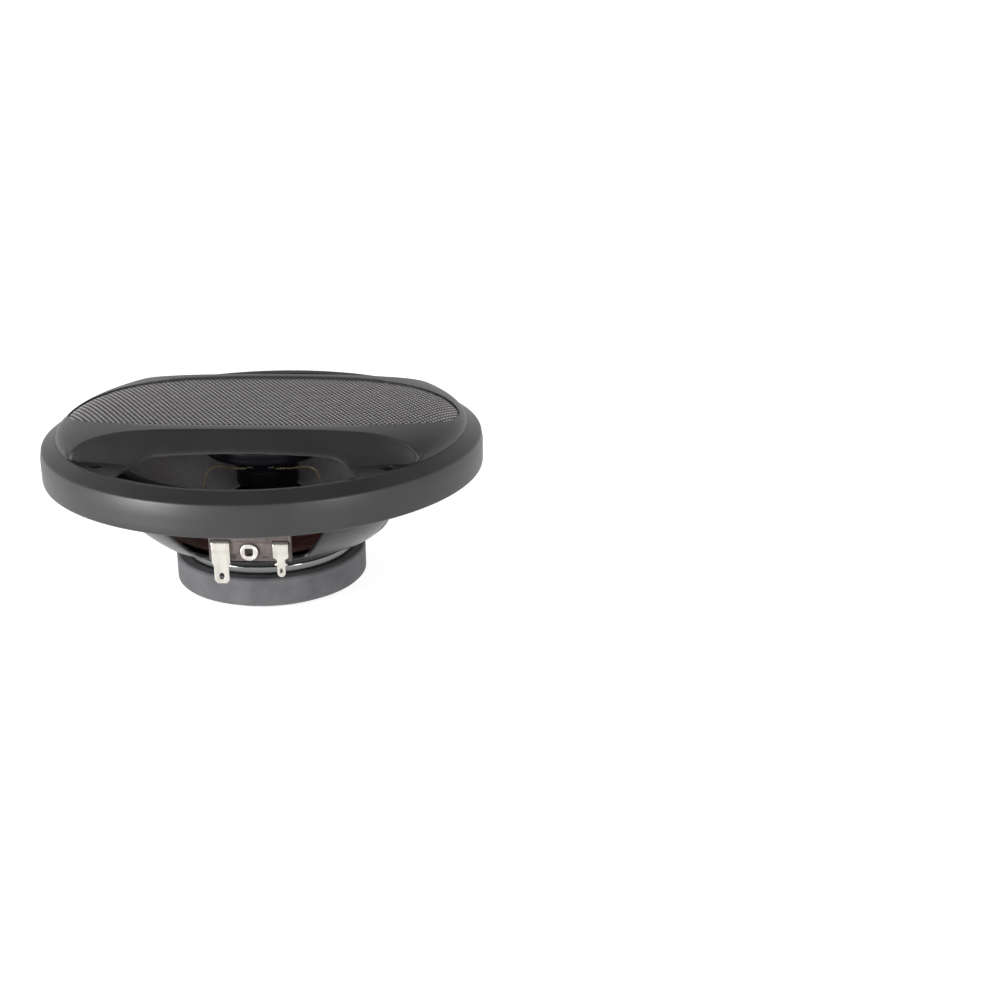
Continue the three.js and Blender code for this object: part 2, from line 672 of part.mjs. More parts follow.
function bandOutline(inset) {
  const count = 44;
  const halfLength = lipRadius - band.endMargin - inset;
  return Array.from({ length: count }, (_, i) => {
    const angle = 2 * Math.PI * i / count;
    const [c, s] = [Math.cos(angle), Math.sin(angle)];
    return [
      halfLength * Math.sign(c) * Math.abs(c) ** (2 / band.squareness),
      (band.halfWidth - inset) * s,
    ];
  });
}

const tipAngle = THREE.MathUtils.degToRad(well.tipAngle);
const tipX = (lipRadius + well.tipReach) * Math.cos(tipAngle);
const tipY = -(lipRadius + well.tipReach) * Math.sin(tipAngle);

// The front well: its floor is a crescent, its band side leans back and its lip side leans out.
// grow makes the same shape larger by a wall's thickness.
function wellSolid(grow) {
  const floor = wellFloor - grow;
  const ceiling = crown + 2;
  const leastStep = 0.4; // the dome's edge stays at least this far above the lip
  const [outX, outY] = [grow * 0.6, grow * 1.1];
  const bandSide = wellRows.map(([along, floorIn, edgeIn]) => {
    const low = new THREE.Vector2(along * (tipX - well.lean), tipY + floorIn);
    const edge = new THREE.Vector2(along * tipX, tipY + edgeIn);
    const surface = Math.max(domeHeight(edge.length()), lipHeight + leastStep);
    const stretch = (ceiling - wellFloor) / (surface - wellFloor);
    const high = low.clone().lerp(edge, stretch);
    return {
      low: new THREE.Vector2(low.x + outX, low.y + outY),
      high: new THREE.Vector2(high.x + outX, high.y + outY),
    };
  });
  const mirrored = bandSide.slice(1).reverse().map(({ low, high }) => ({
    low: new THREE.Vector2(-low.x, low.y), high: new THREE.Vector2(-high.x, high.y),
  }));
  const wall = [...mirrored, ...bandSide];
  const lowTip = wall[wall.length - 1].low;
  const lipSteps = 20;
  const lowAngle = Math.atan2(lowTip.y, lowTip.x);
  const lowRadius = lowTip.length();
  const highRadius = lowRadius + 15;
  for (let i = 1; i < lipSteps; i += 1) {
    const angle = lowAngle - (Math.PI + 2 * lowAngle) * i / lipSteps;
    const direction = new THREE.Vector2(Math.cos(angle), Math.sin(angle));
    wall.push({
      low: direction.clone().multiplyScalar(lowRadius), high: direction.clone().multiplyScalar(highRadius),
    });
  }
  const hub = new THREE.Vector2(0, -lowRadius * 0.84);
  const levels = [
    () => [hub, floor], (at) => [at.low, floor], (at) => [at.high, ceiling], () => [hub, ceiling],
  ];
  return new ParametricGeometry((u, v, target) => {
    const at = wall[Math.round((1 - u) * wall.length) % wall.length];
    const [point, height] = levels[Math.round(v * 3)](at);
    target.set(point.x, point.y, height);
  }, wall.length, 3);
}

function slotOutline() {
  const { half, corner } = slot;
  const rear = -tipY + slot.setback;
  const frontRadius = lipRadius - slot.frontInset;
  const points = [];
  const cornerSteps = 4;
  for (let i = 0; i <= cornerSteps; i += 1) {
    const angle = Math.PI / 2 * (i / cornerSteps);
    points.push([half - corner + corner * Math.sin(angle), -rear - corner + corner * Math.cos(angle)]);
  }
  const arcHalf = Math.asin(half / frontRadius);
  const arcSteps = 10;
  for (let i = 0; i <= arcSteps; i += 1) {
    const angle = arcHalf - 2 * arcHalf * i / arcSteps;
    points.push([frontRadius * Math.sin(angle), -frontRadius * Math.cos(angle)]);
  }
  for (let i = cornerSteps; i >= 0; i -= 1) {
    const angle = Math.PI / 2 * (i / cornerSteps);
    points.push([-half + corner - corner * Math.sin(angle), -rear - corner + corner * Math.cos(angle)]);
  }
  return points;
}

function grilleFrame() {
  const arcSteps = 7;
  const outside = turned([
    [0, grilleRear], [grilleRadius, grilleRear], [grilleRadius, skirtTop], [bevelRadius, bevelTop],
    ...domeLine(lipRadius, lipHeight, arcSteps),
  ], fine);
  const inside = grilleRadius - shell;
  const hollow = turned([
    [0, grilleRear - 1], [inside, grilleRear - 1], [inside, skirtTop],
    [bevelRadius - shell, bevelTop - shell * 0.7],
    ...domeLine(lipRadius - shell * 0.8, lipHeight - shell, arcSteps),
  ], fine);
  let solid = toSolid(outside);
  let space = toSolid(hollow);
  [0, 180].forEach((turn) => {
    solid = solid.subtract(toSolid(spun(wellSolid(0), turn)));
    space = space.subtract(toSolid(spun(wellSolid(shell), turn)));
  });
  solid = solid.subtract(space).subtract(toSolid(prism(bandOutline(0), grilleRear, crown + 1)));
  [0, 180].forEach((turn) => {
    solid = solid.subtract(toSolid(spun(prism(slotOutline(), grilleRear + 1, crown + 1), turn)));
  });
  const seat = flangeFront + fitGap;
  screwPlaces.forEach(([x, y]) => {
    solid = solid.add(toSolid(moved(disc(screwBoss / 2, seat, wellFloor - shell / 2, 20), x, y)));
    solid = solid.subtract(toSolid(moved(disc(mountHoles.hole / 2, seat - 1, crown, 16), x, y)));
  });
  for (let i = 0; i < centringRib.count; i += 1) {
    const near = flange.radius + fitGap;
    const far = grilleRadius - shell / 2;
    const half = centringRib.width / 2;
    const ribRear = flangeRear - 0.6;
    const rib = prism([[near, -half], [far, -half], [far, half], [near, half]], ribRear, skirtTop);
    solid = solid.add(toSolid(spun(rib, 360 * (i + 0.5) / centringRib.count)));
  }
  return toGeometry(solid);
}

function grilleMesh() {
  const steps = 7;
  const top = domeLine(lipRadius, lipHeight - meshRecess, steps);
  const under = domeLine(lipRadius - 0.2, lipHeight - meshRecess - meshThick, steps).reverse();
  return common(turned([...top, ...under], medium), prism(bandOutline(fitGap), grilleRear, crown + 1));
}

add('grille_frame', 'moulded', grilleFrame());
add('grille_mesh', 'meshPaint', grilleMesh());

export default speaker;
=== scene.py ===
# Coaxial car speaker: the finished look of each piece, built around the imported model.
# Lengths in the dictionaries are millimetres, in the model's own frame.
import json
import math

import bmesh
import bpy
from mathutils import Matrix, Vector


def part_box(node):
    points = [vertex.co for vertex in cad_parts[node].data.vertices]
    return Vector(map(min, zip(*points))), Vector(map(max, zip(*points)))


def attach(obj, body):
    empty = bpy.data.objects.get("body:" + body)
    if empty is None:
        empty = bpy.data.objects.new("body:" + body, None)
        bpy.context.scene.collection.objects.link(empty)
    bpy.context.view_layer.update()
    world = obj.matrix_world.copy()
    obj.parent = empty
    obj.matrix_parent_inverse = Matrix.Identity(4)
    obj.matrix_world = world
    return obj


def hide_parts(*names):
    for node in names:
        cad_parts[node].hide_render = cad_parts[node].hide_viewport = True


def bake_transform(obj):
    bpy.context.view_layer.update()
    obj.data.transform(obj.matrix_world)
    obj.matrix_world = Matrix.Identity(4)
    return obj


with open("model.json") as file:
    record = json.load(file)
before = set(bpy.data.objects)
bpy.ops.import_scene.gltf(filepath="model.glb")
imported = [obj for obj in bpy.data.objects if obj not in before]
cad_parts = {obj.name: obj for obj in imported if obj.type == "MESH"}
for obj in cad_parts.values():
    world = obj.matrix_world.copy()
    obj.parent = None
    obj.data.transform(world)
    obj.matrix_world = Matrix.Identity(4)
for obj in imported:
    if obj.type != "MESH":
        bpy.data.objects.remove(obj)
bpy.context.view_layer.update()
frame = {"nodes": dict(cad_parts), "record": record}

mm = 0.001
collection = bpy.context.scene.collection


# What the pieces are built with

def span(node):
    # radius, rear and front of a turned piece
    low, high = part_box(node)
    return max(high.x, high.y) / mm, low.z / mm, high.z / mm


def linked(name, mesh):
    obj = bpy.data.objects.new(name, mesh)
    collection.objects.link(obj)
    return obj


def smoothed(obj, sharpAngle=38):
    obj.data.shade_smooth()
    obj.data.set_sharp_from_angle(angle=math.radians(sharpAngle))
    return obj


def cleaned(obj, sharpAngle=38):
    # welds the seams and poles, then turns every face outwards
    work = bmesh.new()
    work.from_mesh(obj.data)
    bmesh.ops.remove_doubles(work, verts=work.verts, dist=0.002 * mm)
    bmesh.ops.dissolve_degenerate(work, edges=work.edges, dist=0.001 * mm)
    loose = [v for v in work.verts if not v.link_faces]
    bmesh.ops.delete(work, geom=loose, context="VERTS")
    bmesh.ops.recalc_face_normals(work, faces=work.faces)
    work.to_mesh(obj.data)
    work.free()
    return smoothed(obj, sharpAngle)


def solid(name, points, faces, sharpAngle=38):
    mesh = bpy.data.meshes.new(name)
    mesh.from_pydata([(x * mm, y * mm, z * mm) for x, y, z in points], [], faces)
    return cleaned(linked(name, mesh), sharpAngle)


def settled(obj):
    # the modifiers' result becomes the piece's own mesh
    seen = obj.evaluated_get(bpy.context.evaluated_depsgraph_get())
    mesh = bpy.data.meshes.new_from_object(seen)
    if obj.type == "MESH":
        obj.modifiers.clear()
        obj.data = mesh
        return obj
    name = obj.name
    bpy.data.objects.remove(obj)
    return linked(name, mesh)


def joined(name, parts):
    mesh = bpy.data.meshes.new(name)
    work = bmesh.new()
    for part in parts:
        work.from_mesh(part.data)
        bpy.data.objects.remove(part)
    work.to_mesh(mesh)
    work.free()
    return smoothed(linked(name, mesh))


def cutBy(obj, cutters):
    for cutter in cutters:
        cut = obj.modifiers.new("cut", "BOOLEAN")
        cut.object = cutter
        cut.solver = "EXACT"
    settled(obj)
    for cutter in cutters:
        bpy.data.objects.remove(cutter)
    return smoothed(obj)


def eased(obj, width, segments=2, angle=50):
    # breaks the sharp edges by a small round
    bevel = obj.modifiers.new("eased", "BEVEL")
    bevel.width = width * mm
    bevel.segments = segments
    bevel.limit_method = "ANGLE"
    bevel.angle_limit = math.radians(angle)
    bevel.use_clamp_overlap = False
    settled(obj)
    return smoothed(obj)


def rounded(outline, closed=True, steps=5):
    # each corner is [a, b] or [a, b, fillet]
    points = []
    for i, corner in enumerate(outline):
        here = Vector(corner[:2])
        if len(corner) < 3 or (not closed and i in (0, len(outline) - 1)):
            points.append((here.x, here.y))
            continue
        back = Vector(outline[i - 1][:2]) - here
        ahead = Vector(outline[(i + 1) % len(outline)][:2]) - here
        half = back.angle(ahead) / 2
        reach = min(corner[2] / math.tan(half), back.length * 0.49, ahead.length * 0.49)
        if reach < 0.002:
            points.append((here.x, here.y))
            continue
        start, end = here + back.normalized() * reach, here + ahead.normalized() * reach
        middle = here + (back.normalized() + ahead.normalized()).normalized() * reach / math.cos(half)
        turn = (start - middle).angle_signed(end - middle)
        for k in range(steps + 1):
            spoke = Matrix.Rotation(-turn * k / steps, 2) @ (start - middle)
            points.append(tuple(middle + spoke))
    return points


def turned(name, outline, facets=128, sharpAngle=38):
    # an outline of [radius, height] turned about the speaker's axis
    profile = rounded(outline)
    count = len(profile)
    points = []
    faces = []
    for k in range(facets):
        angle = 2 * math.pi * k / facets
        points += [(r * math.cos(angle), r * math.sin(angle), z) for r, z in profile]
        after = (k + 1) % facets
        faces += [
            (k * count + i, after * count + i, after * count + (i + 1) % count, k * count + (i + 1) % count)
            for i in range(count)
        ]
    return solid(name, points, faces, sharpAngle)


def shellOf(name, outer, inner, kept, sharpAngle=38):
    # two skins of the same rows and columns, walled wherever a kept face ends; columns run all the way round
    rows, columns = len(outer), len(outer[0])
    depth = rows * columns
    faces = []
    for i in range(rows - 1):
        for j in range(columns):
            if not kept(i, j):
                continue
            after = (j + 1) % columns
            corners = [i * columns + j, i * columns + after, (i + 1) * columns + after, (i + 1) * columns + j]
            faces.append(corners)
            faces.append([k + depth for k in reversed(corners)])
            sides = [
                (i == 0 or not kept(i - 1, j), 0, 1),
                (not kept(i, after), 1, 2),
                (i == rows - 2 or not kept(i + 1, j), 2, 3),
                (not kept(i, (j - 1) % columns), 3, 0),
            ]
            for open_, a, b in sides:
                if open_:
                    faces.append((corners[b], corners[a], corners[a] + depth, corners[b] + depth))
    points = [p for skin in (outer, inner) for row in skin for p in row]
    return solid(name, points, faces, sharpAngle)


def plate(name, outline, front, back, along="y"):
    # a flat outline given thickness along Y, as [x, z] pairs, or along Z, as [x, y] pairs
    count = len(outline)
    if along == "y":
        points = [(a, depth, b) for depth in (front, back) for a, b in outline]
    else:
        points = [(a, b, depth) for depth in (front, back) for a, b in outline]
    faces = [list(range(count)), list(range(2 * count - 1, count - 1, -1))]
    faces += [(i, (i + 1) % count, count + (i + 1) % count, count + i) for i in range(count)]
    return solid(name, points, faces)


def rectangle(left, low, right, high, fillet=0.0):
    corners = [(left, low), (right, low), (right, high), (left, high)]
    return rounded([(a, b, fillet) for a, b in corners]) if fillet else corners


def peg(name, radius, place, front, back, along="y", facets=32):
    a, b = place
    circle = [
        (a + radius * math.cos(2 * math.pi * k / facets), b + radius * math.sin(2 * math.pi * k / facets))
        for k in range(facets)
    ]
    return plate(name, circle, front, back, along)


def curveThrough(rows, x):
    # a smooth curve through [x, value] rows
    last = len(rows) - 1
    i = max(k for k in range(last) if rows[k][0] <= x or k == 0)
    (x0, v0), (x1, v1) = rows[i], rows[i + 1]
    before, after = rows[max(i - 1, 0)], rows[min(i + 2, last)]
    t = (x - x0) / (x1 - x0)
    slope0 = (v1 - before[1]) / (x1 - before[0]) * (x1 - x0) if i else 0.0
    slope1 = (after[1] - v0) / (after[0] - x0) * (x1 - x0)
    return (
        (2 * t ** 3 - 3 * t ** 2 + 1) * v0 + (t ** 3 - 2 * t ** 2 + t) * slope0
        + (3 * t ** 2 - 2 * t ** 3) * v1 + (t ** 3 - t ** 2) * slope1
    )


# Node trees

def treeFor(name, inputs):
    # a geometry tree with named inputs, each given as (name, socket kind)
    tree = bpy.data.node_groups.new(name, "GeometryNodeTree")
    for label, kind in [("Geometry", "NodeSocketGeometry")] + inputs:
        tree.interface.new_socket(label, in_out="INPUT", socket_type=kind)
    tree.interface.new_socket("Geometry", in_out="OUTPUT", socket_type="NodeSocketGeometry")
    return tree


def runTree(obj, tree, values):
    modifier = obj.modifiers.new(tree.name, "NODES")
    modifier.node_group = tree
    for item in tree.interface.items_tree:
        if item.in_out == "INPUT" and item.name in values:
            modifier[item.identifier] = values[item.name]
    return settled(obj)


def node(tree, kind, inputs=None, **settings):
    made = tree.nodes.new(kind)
    for key, value in settings.items():
        setattr(made, key, value)
    for key, value in (inputs or {}).items():
        if isinstance(value, bpy.types.NodeSocket):
            tree.links.new(value, made.inputs[key])
        else:
            made.inputs[key].default_value = value
    return made


def sums(tree, operation, a, b=0.0):
    return node(tree, "ShaderNodeMath", {0: a, 1: b}, operation=operation).outputs[0]


def vector(tree, axis, value):
    return node(tree, "ShaderNodeCombineXYZ", {axis: value}).outputs[0]


def geometry(tree, kind, inputs=None, **settings):
    return node(tree, "GeometryNode" + kind, inputs, **settings).outputs[0]


def closeTree(tree, shape, finish):
    # every tree ends in real geometry with its finish on
    real = geometry(tree, "RealizeInstances", {0: shape})
    painted = geometry(tree, "SetMaterial", {"Geometry": real, "Material": finish})
    node(tree, "NodeGroupOutput", {0: painted})


# Finishes

def surface(name, look):
    # a principled surface whose colour, gloss and grain vary over the piece
    material = bpy.data.materials.new(name)
    material.use_nodes = True
    tree = material.node_tree
    shader = tree.nodes["Principled BSDF"]
    place = node(tree, "ShaderNodeTexCoord").outputs["Object"]
    if look.get("turned"):
        split = node(tree, "ShaderNodeSeparateXYZ", {0: place})
        across = sums(tree, "POWER", split.outputs["X"], 2.0)
        around = sums(tree, "POWER", split.outputs["Y"], 2.0)
        radius = sums(tree, "SQRT", sums(tree, "ADD", across, around))
        place = node(tree, "ShaderNodeCombineXYZ", {"X": radius, "Z": split.outputs["Z"]}).outputs[0]
    if look.get("stretch"):
        place = node(tree, "ShaderNodeMapping", {"Vector": place, "Scale": look["stretch"]}).outputs[0]
    mottle = node(tree, "ShaderNodeTexNoise", {
        "Vector": place, "Scale": look.get("mottleScale", 90.0), "Detail": 5.0, "Roughness": 0.6})
    grain = node(tree, "ShaderNodeTexNoise", {
        "Vector": place, "Scale": look["grainScale"], "Detail": look.get("grainDetail", 3.0),
        "Roughness": 0.65})
    colour = node(tree, "ShaderNodeValToRGB", {"Fac": mottle.outputs["Fac"]})
    colour.color_ramp.elements[0].position = 0.32
    colour.color_ramp.elements[1].position = 0.68
    colour.color_ramp.elements[0].color = (*look["colour"], 1)
    colour.color_ramp.elements[1].color = (*look["colourTo"], 1)
    base = colour.outputs["Color"]
    # convex edges, found by pointiness, take another colour: edge wear on some finishes and a painted
    # highlight along the rounded edges on others
    if look.get("edgeWearAndHighlight"):
        pointed = node(tree, "ShaderNodeNewGeometry").outputs["Pointiness"]
        wearOrHighlightShare = node(tree, "ShaderNodeMapRange", {
            "Value": pointed, "From Min": look.get("edgeWearAndHighlightFrom", 0.53), "From Max": look.get("edgeWearAndHighlightTo", 0.6)})
        patchy = sums(tree, "MULTIPLY", wearOrHighlightShare.outputs["Result"], mottle.outputs["Fac"])
        mix = node(tree, "ShaderNodeMix", {0: patchy, 6: base, 7: (*look["edgeWearAndHighlight"], 1)}, data_type="RGBA")
        base = mix.outputs[2]
    tree.links.new(base, shader.inputs["Base Color"])
    gloss = node(tree, "ShaderNodeMapRange", {
        "Value": grain.outputs["Fac"], "From Min": 0.3, "From Max": 0.7,
        "To Min": look["rough"][0], "To Max": look["rough"][1]})
    tree.links.new(gloss.outputs["Result"], shader.inputs["Roughness"])
    bump = node(tree, "ShaderNodeBump", {
        "Height": grain.outputs["Fac"], "Strength": look["grain"],
        "Distance": look.get("grainDepth", 0.05) * mm})
    tree.links.new(bump.outputs["Normal"], shader.inputs["Normal"])
    shader.inputs["Metallic"].default_value = look.get("metal", 0.0)
    shader.inputs["Coat Weight"].default_value = look.get("coat", 0.0)
    shader.inputs["Coat Roughness"].default_value = 0.1
    shader.inputs["Sheen Weight"].default_value = look.get("sheen", 0.0)
    shader.inputs["Specular IOR Level"].default_value = look.get("specular", 0.5)
    return material


def relief(material, height, strength, depth):
    # a second, coarser bump under the fine grain
    tree = material.node_tree
    shader = tree.nodes["Principled BSDF"]
    fine = shader.inputs["Normal"].links[0].from_socket
    bump = node(tree, "ShaderNodeBump", {
        "Height": height, "Normal": fine, "Strength": strength, "Distance": depth * mm})
    tree.links.new(bump.outputs["Normal"], shader.inputs["Normal"])
    return material


def mouldedBlack():
    # satin moulding; the wells carry a coarser spark texture, marked on the mesh as sparked; its edges are
    # painted a little lighter, partly wear and partly a painted highlight
    material = surface("mouldedBlack", {
        "colour": (0.0155, 0.015, 0.016), "colourTo": (0.021, 0.0202, 0.0212), "mottleScale": 60.0,
        "grainScale": 2600.0, "grain": 0.25, "grainDepth": 0.03, "rough": (0.36, 0.5),
        "edgeWearAndHighlight": (0.055, 0.055, 0.06)})
    tree = material.node_tree
    mark = node(tree, "ShaderNodeAttribute", attribute_name="sparked").outputs["Fac"]
    place = node(tree, "ShaderNodeTexCoord").outputs["Object"]
    sparks = node(tree, "ShaderNodeTexNoise", {
        "Vector": place, "Scale": 1500.0, "Detail": 4.0, "Roughness": 0.8}).outputs["Fac"]
    return relief(material, sums(tree, "MULTIPLY", sparks, mark), 0.9, 0.12)


def meshPaint():
    return surface("meshPaint", {
        "colour": (0.42, 0.4, 0.41), "colourTo": (0.54, 0.515, 0.53), "mottleScale": 200.0,
        "grainScale": 5000.0, "grain": 0.15, "grainDepth": 0.02, "rough": (0.16, 0.26), "metal": 0.85,
        "edgeWearAndHighlight": (0.1, 0.1, 0.1), "specular": 0.8})


def basketPaint():
    return surface("basketPaint", {
        "colour": (0.008, 0.008, 0.009), "colourTo": (0.012, 0.012, 0.014), "mottleScale": 40.0,
        "grainScale": 700.0, "grain": 0.06, "grainDepth": 0.03, "rough": (0.24, 0.34), "coat": 0.0,
        "specular": 0.32, "edgeWearAndHighlight": (0.05, 0.05, 0.055)})


def groundFerrite():
    return surface("groundFerrite", {
        "colour": (0.088, 0.088, 0.094), "colourTo": (0.12, 0.12, 0.126), "mottleScale": 110.0,
        "grainScale": 1400.0, "grainDetail": 6.0, "grain": 0.35, "grainDepth": 0.05, "rough": (0.6, 0.78),
        "edgeWearAndHighlight": (0.16, 0.16, 0.165), "specular": 0.15})


def brightZinc():
    # the rounded edges are painted bright, a painted highlight, and the body is painted dark in place of a
    # dark reflection
    return surface("brightZinc", {
        "colour": (0.1, 0.105, 0.1), "colourTo": (0.15, 0.155, 0.148), "mottleScale": 300.0, "turned": True,
        "grainScale": 2200.0, "grain": 0.2, "grainDepth": 0.03, "rough": (0.12, 0.22), "metal": 1.0,
        "edgeWearAndHighlight": (0.7, 0.7, 0.69), "edgeWearAndHighlightFrom": 0.51, "edgeWearAndHighlightTo": 0.56})


def tinPlate():
    return surface("tinPlate", {
        "colour": (0.5, 0.485, 0.44), "colourTo": (0.64, 0.62, 0.565), "mottleScale": 400.0,
        "stretch": (1.0, 1.0, 0.15), "grainScale": 2600.0, "grain": 0.3, "grainDepth": 0.04,
        "rough": (0.24, 0.4), "metal": 0.9, "edgeWearAndHighlight": (0.9, 0.88, 0.82)})


def laminate():
    return surface("laminate", {
        "colour": (0.06, 0.046, 0.044), "colourTo": (0.09, 0.07, 0.066), "mottleScale": 700.0,
        "stretch": (1.0, 1.0, 0.35), "grainScale": 2400.0, "grain": 0.35, "grainDepth": 0.05,
        "rough": (0.5, 0.7), "edgeWearAndHighlight": (0.15, 0.12, 0.1)})


def boardInk():
    return surface("boardInk", {
        "colour": (0.006, 0.006, 0.006), "colourTo": (0.012, 0.011, 0.011), "grainScale": 3000.0,
        "grain": 0.2, "rough": (0.4, 0.6)})


def conePulp():
    return surface("conePulp", {
        "colour": (0.2, 0.188, 0.182), "colourTo": (0.25, 0.236, 0.228), "mottleScale": 260.0,
        "grainScale": 1300.0, "grainDetail": 5.0, "grain": 0.3, "grainDepth": 0.06, "rough": (0.4, 0.58)})


def surroundRubber():
    return surface("surroundRubber", {
        "colour": (0.01, 0.01, 0.01), "colourTo": (0.016, 0.016, 0.016), "mottleScale": 120.0,
        "grainScale": 1800.0, "grain": 0.25, "grainDepth": 0.04, "rough": (0.5, 0.66)})


def spiderCloth():
    # a plain weave pressed into the cloth, its threads counted in radians to the metre
    material = surface("spiderCloth", {
        "colour": (0.12, 0.026, 0.013), "colourTo": (0.18, 0.042, 0.022), "mottleScale": 150.0,
        "grainScale": 1500.0, "grain": 0.3, "grainDepth": 0.05, "rough": (0.6, 0.8), "sheen": 0.3})
    tree = material.node_tree
    place = node(tree, "ShaderNodeTexCoord").outputs["Object"]
    split = node(tree, "ShaderNodeSeparateXYZ", {0: place})
    threads = 9000.0
    warp = sums(tree, "SINE", sums(tree, "MULTIPLY", split.outputs["X"], threads))
    weft = sums(tree, "SINE", sums(tree, "MULTIPLY", split.outputs["Y"], threads))
    return relief(material, sums(tree, "MULTIPLY", warp, weft), 0.5, 0.06)


def sealFoam():
    return surface("sealFoam", {
        "colour": (0.018, 0.018, 0.018), "colourTo": (0.034, 0.034, 0.034), "mottleScale": 900.0,
        "grainScale": 1600.0, "grainDetail": 6.0, "grain": 0.8, "grainDepth": 0.15, "rough": (0.8, 0.95),
        "sheen": 0.15})


def formerFilm():
    return surface("formerFilm", {
        "colour": (0.3, 0.24, 0.17), "colourTo": (0.38, 0.31, 0.22), "mottleScale": 80.0, "turned": True,
        "grainScale": 1200.0, "grain": 0.15, "rough": (0.25, 0.4), "metal": 0.5})


def copperTurns():
    return surface("copperTurns", {
        "colour": (0.42, 0.13, 0.05), "colourTo": (0.58, 0.2, 0.08), "mottleScale": 300.0, "turned": True,
        "grainScale": 1800.0, "grain": 0.15, "rough": (0.22, 0.36), "metal": 0.9, "coat": 0.4})


def tweeterPlastic():
    return surface("tweeterPlastic", {
        "colour": (0.008, 0.008, 0.014), "colourTo": (0.012, 0.012, 0.02), "mottleScale": 50.0,
        "grainScale": 1900.0, "grain": 0.2, "grainDepth": 0.03, "rough": (0.34, 0.46)})


def domeFilm():
    return surface("domeFilm", {
        "colour": (0.36, 0.33, 0.26), "colourTo": (0.46, 0.42, 0.33), "mottleScale": 160.0, "turned": True,
        "grainScale": 1500.0, "grain": 0.12, "rough": (0.2, 0.32), "metal": 0.3, "coat": 0.3})


def capacitorSleeve():
    return surface("capacitorSleeve", {
        "colour": (0.012, 0.04, 0.12), "colourTo": (0.018, 0.055, 0.16), "mottleScale": 200.0,
        "grainScale": 900.0, "grain": 0.15, "rough": (0.2, 0.32)})


def leadBraid():
    return surface("leadBraid", {
        "colour": (0.62, 0.5, 0.3), "colourTo": (0.85, 0.74, 0.52), "mottleScale": 900.0,
        "grainScale": 3800.0, "grain": 0.5, "grainDepth": 0.05, "rough": (0.3, 0.5), "metal": 0.75})


finishes = {
    "moulded_black": mouldedBlack(), "mesh_paint": meshPaint(), "basket_paint": basketPaint(),
    "ferrite": groundFerrite(), "zinc_plate": brightZinc(), "tinned_brass": tinPlate(),
    "phenolic_board": laminate(), "cone_paper": conePulp(), "surround_rubber": surroundRubber(),
    "spider_cloth": spiderCloth(), "seal_foam": sealFoam(), "former_film": formerFilm(),
    "copper_wire": copperTurns(), "tweeter_plastic": tweeterPlastic(), "dome_film": domeFilm(),
    "capacitor_sleeve": capacitorSleeve(), "lead_braid": leadBraid(),
}
slotNames = {subpart["node"]: subpart["material_slot"] for subpart in frame["record"]["subparts"]}
for name, cadNode in frame["nodes"].items():
    cadNode.data.materials.clear()
    cadNode.data.materials.append(finishes[slotNames[name]])
print("finishes made")


def fitted(piece, body, slotName, *nodes):
    if not piece.data.materials:
        piece.data.materials.append(finishes[slotName])
    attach(piece, body)
    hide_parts(*nodes)


def turnedPiece(name, cadNode, body, outlineOf, facets=128, sharpAngle=38):
    # a turned piece drawn from its node's radius, rear and front
    fitted(turned(name, outlineOf(*span(cadNode)), facets, sharpAngle), body, slotNames[cadNode], cadNode)


def flexing(piece, slotName, shareOf, cadNode):
    # gives the piece its finish, bakes its placement into the mesh and hides the node; each point's share
    # from shareOf, 0 for the frame and 1 for the moving body, is worked out but not used
    piece.data.materials.append(finishes[slotName])
    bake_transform(piece)
    shares = [easedShare(shareOf(v.co / mm)) for v in piece.data.vertices]
    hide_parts(cadNode)


def easedShare(t):
    t = min(max(t, 0.0), 1.0)
    return t * t * (3 - 2 * t)


def fromRim(outer, inner):
    # a flexing ring's share: 0 at its outer edge, 1 at its inner edge
    return lambda p: (outer - math.hypot(p.x, p.y)) / (outer - inner)


def middleHeight(cadNode):
    low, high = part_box(cadNode)
    return (low.z + high.z) / 2 / mm


def skinned(line, thickness):
    # the closed outline of a formed sheet that follows a line
    return [(r, z + thickness) for r, z in line] + list(reversed(line))


def stepsBetween(start, end, count):
    (a0, b0), (a1, b1) = start, end
    return [(a0 + (a1 - a0) * k / count, b0 + (b1 - b0) * k / count) for k in range(1, count + 1)]


# Motor: plates, magnet and pole

motor = {
    "chamfer": 2.1, "foot": 30.8, "poleRadius": 14.0, "bore": 2.6, "headWell": [5.5, 5.0],
    "magnetBore": 19.0,
}


def buildMotor():
    radius, rear, front = span("rear_plate_and_pole")
    plateFront = span("magnet")[1] - 0.3
    bore, pole = motor["bore"], motor["poleRadius"]
    wellRadius, wellDepth = motor["headWell"]
    yoke = turned("rearPlateAndPole", [
        (bore, rear + wellDepth, 0.2), (wellRadius, rear + wellDepth, 0.3), (wellRadius, rear, 0.4),
        (motor["foot"], rear, 0.5), (radius, rear + motor["chamfer"], 0.5), (radius, plateFront, 0.4),
        (pole, plateFront, 0.4), (pole, front, 0.5), (bore, front, 0.3)])
    fitted(yoke, "frame", "zinc_plate", "rear_plate_and_pole")
    turnedPiece("magnetRing", "magnet", "frame", lambda radius, rear, front: [
        (motor["magnetBore"], rear, 0.5), (radius - 0.9, rear, 0.35), (radius, rear + 0.9, 0.35),
        (radius, front - 0.7, 0.3), (radius - 0.7, front, 0.3), (motor["magnetBore"], front, 0.5)])
    coilGap = span("voice_coil")[0] + 0.5
    turnedPiece("topPlate", "top_plate", "frame", lambda radius, rear, front: [
        (coilGap, rear, 0.3), (radius, rear, 0.75), (radius, front, 0.75), (coilGap, front, 0.3)])


buildMotor()
print("motor made")

# Basket: a pressed bowl with four windows

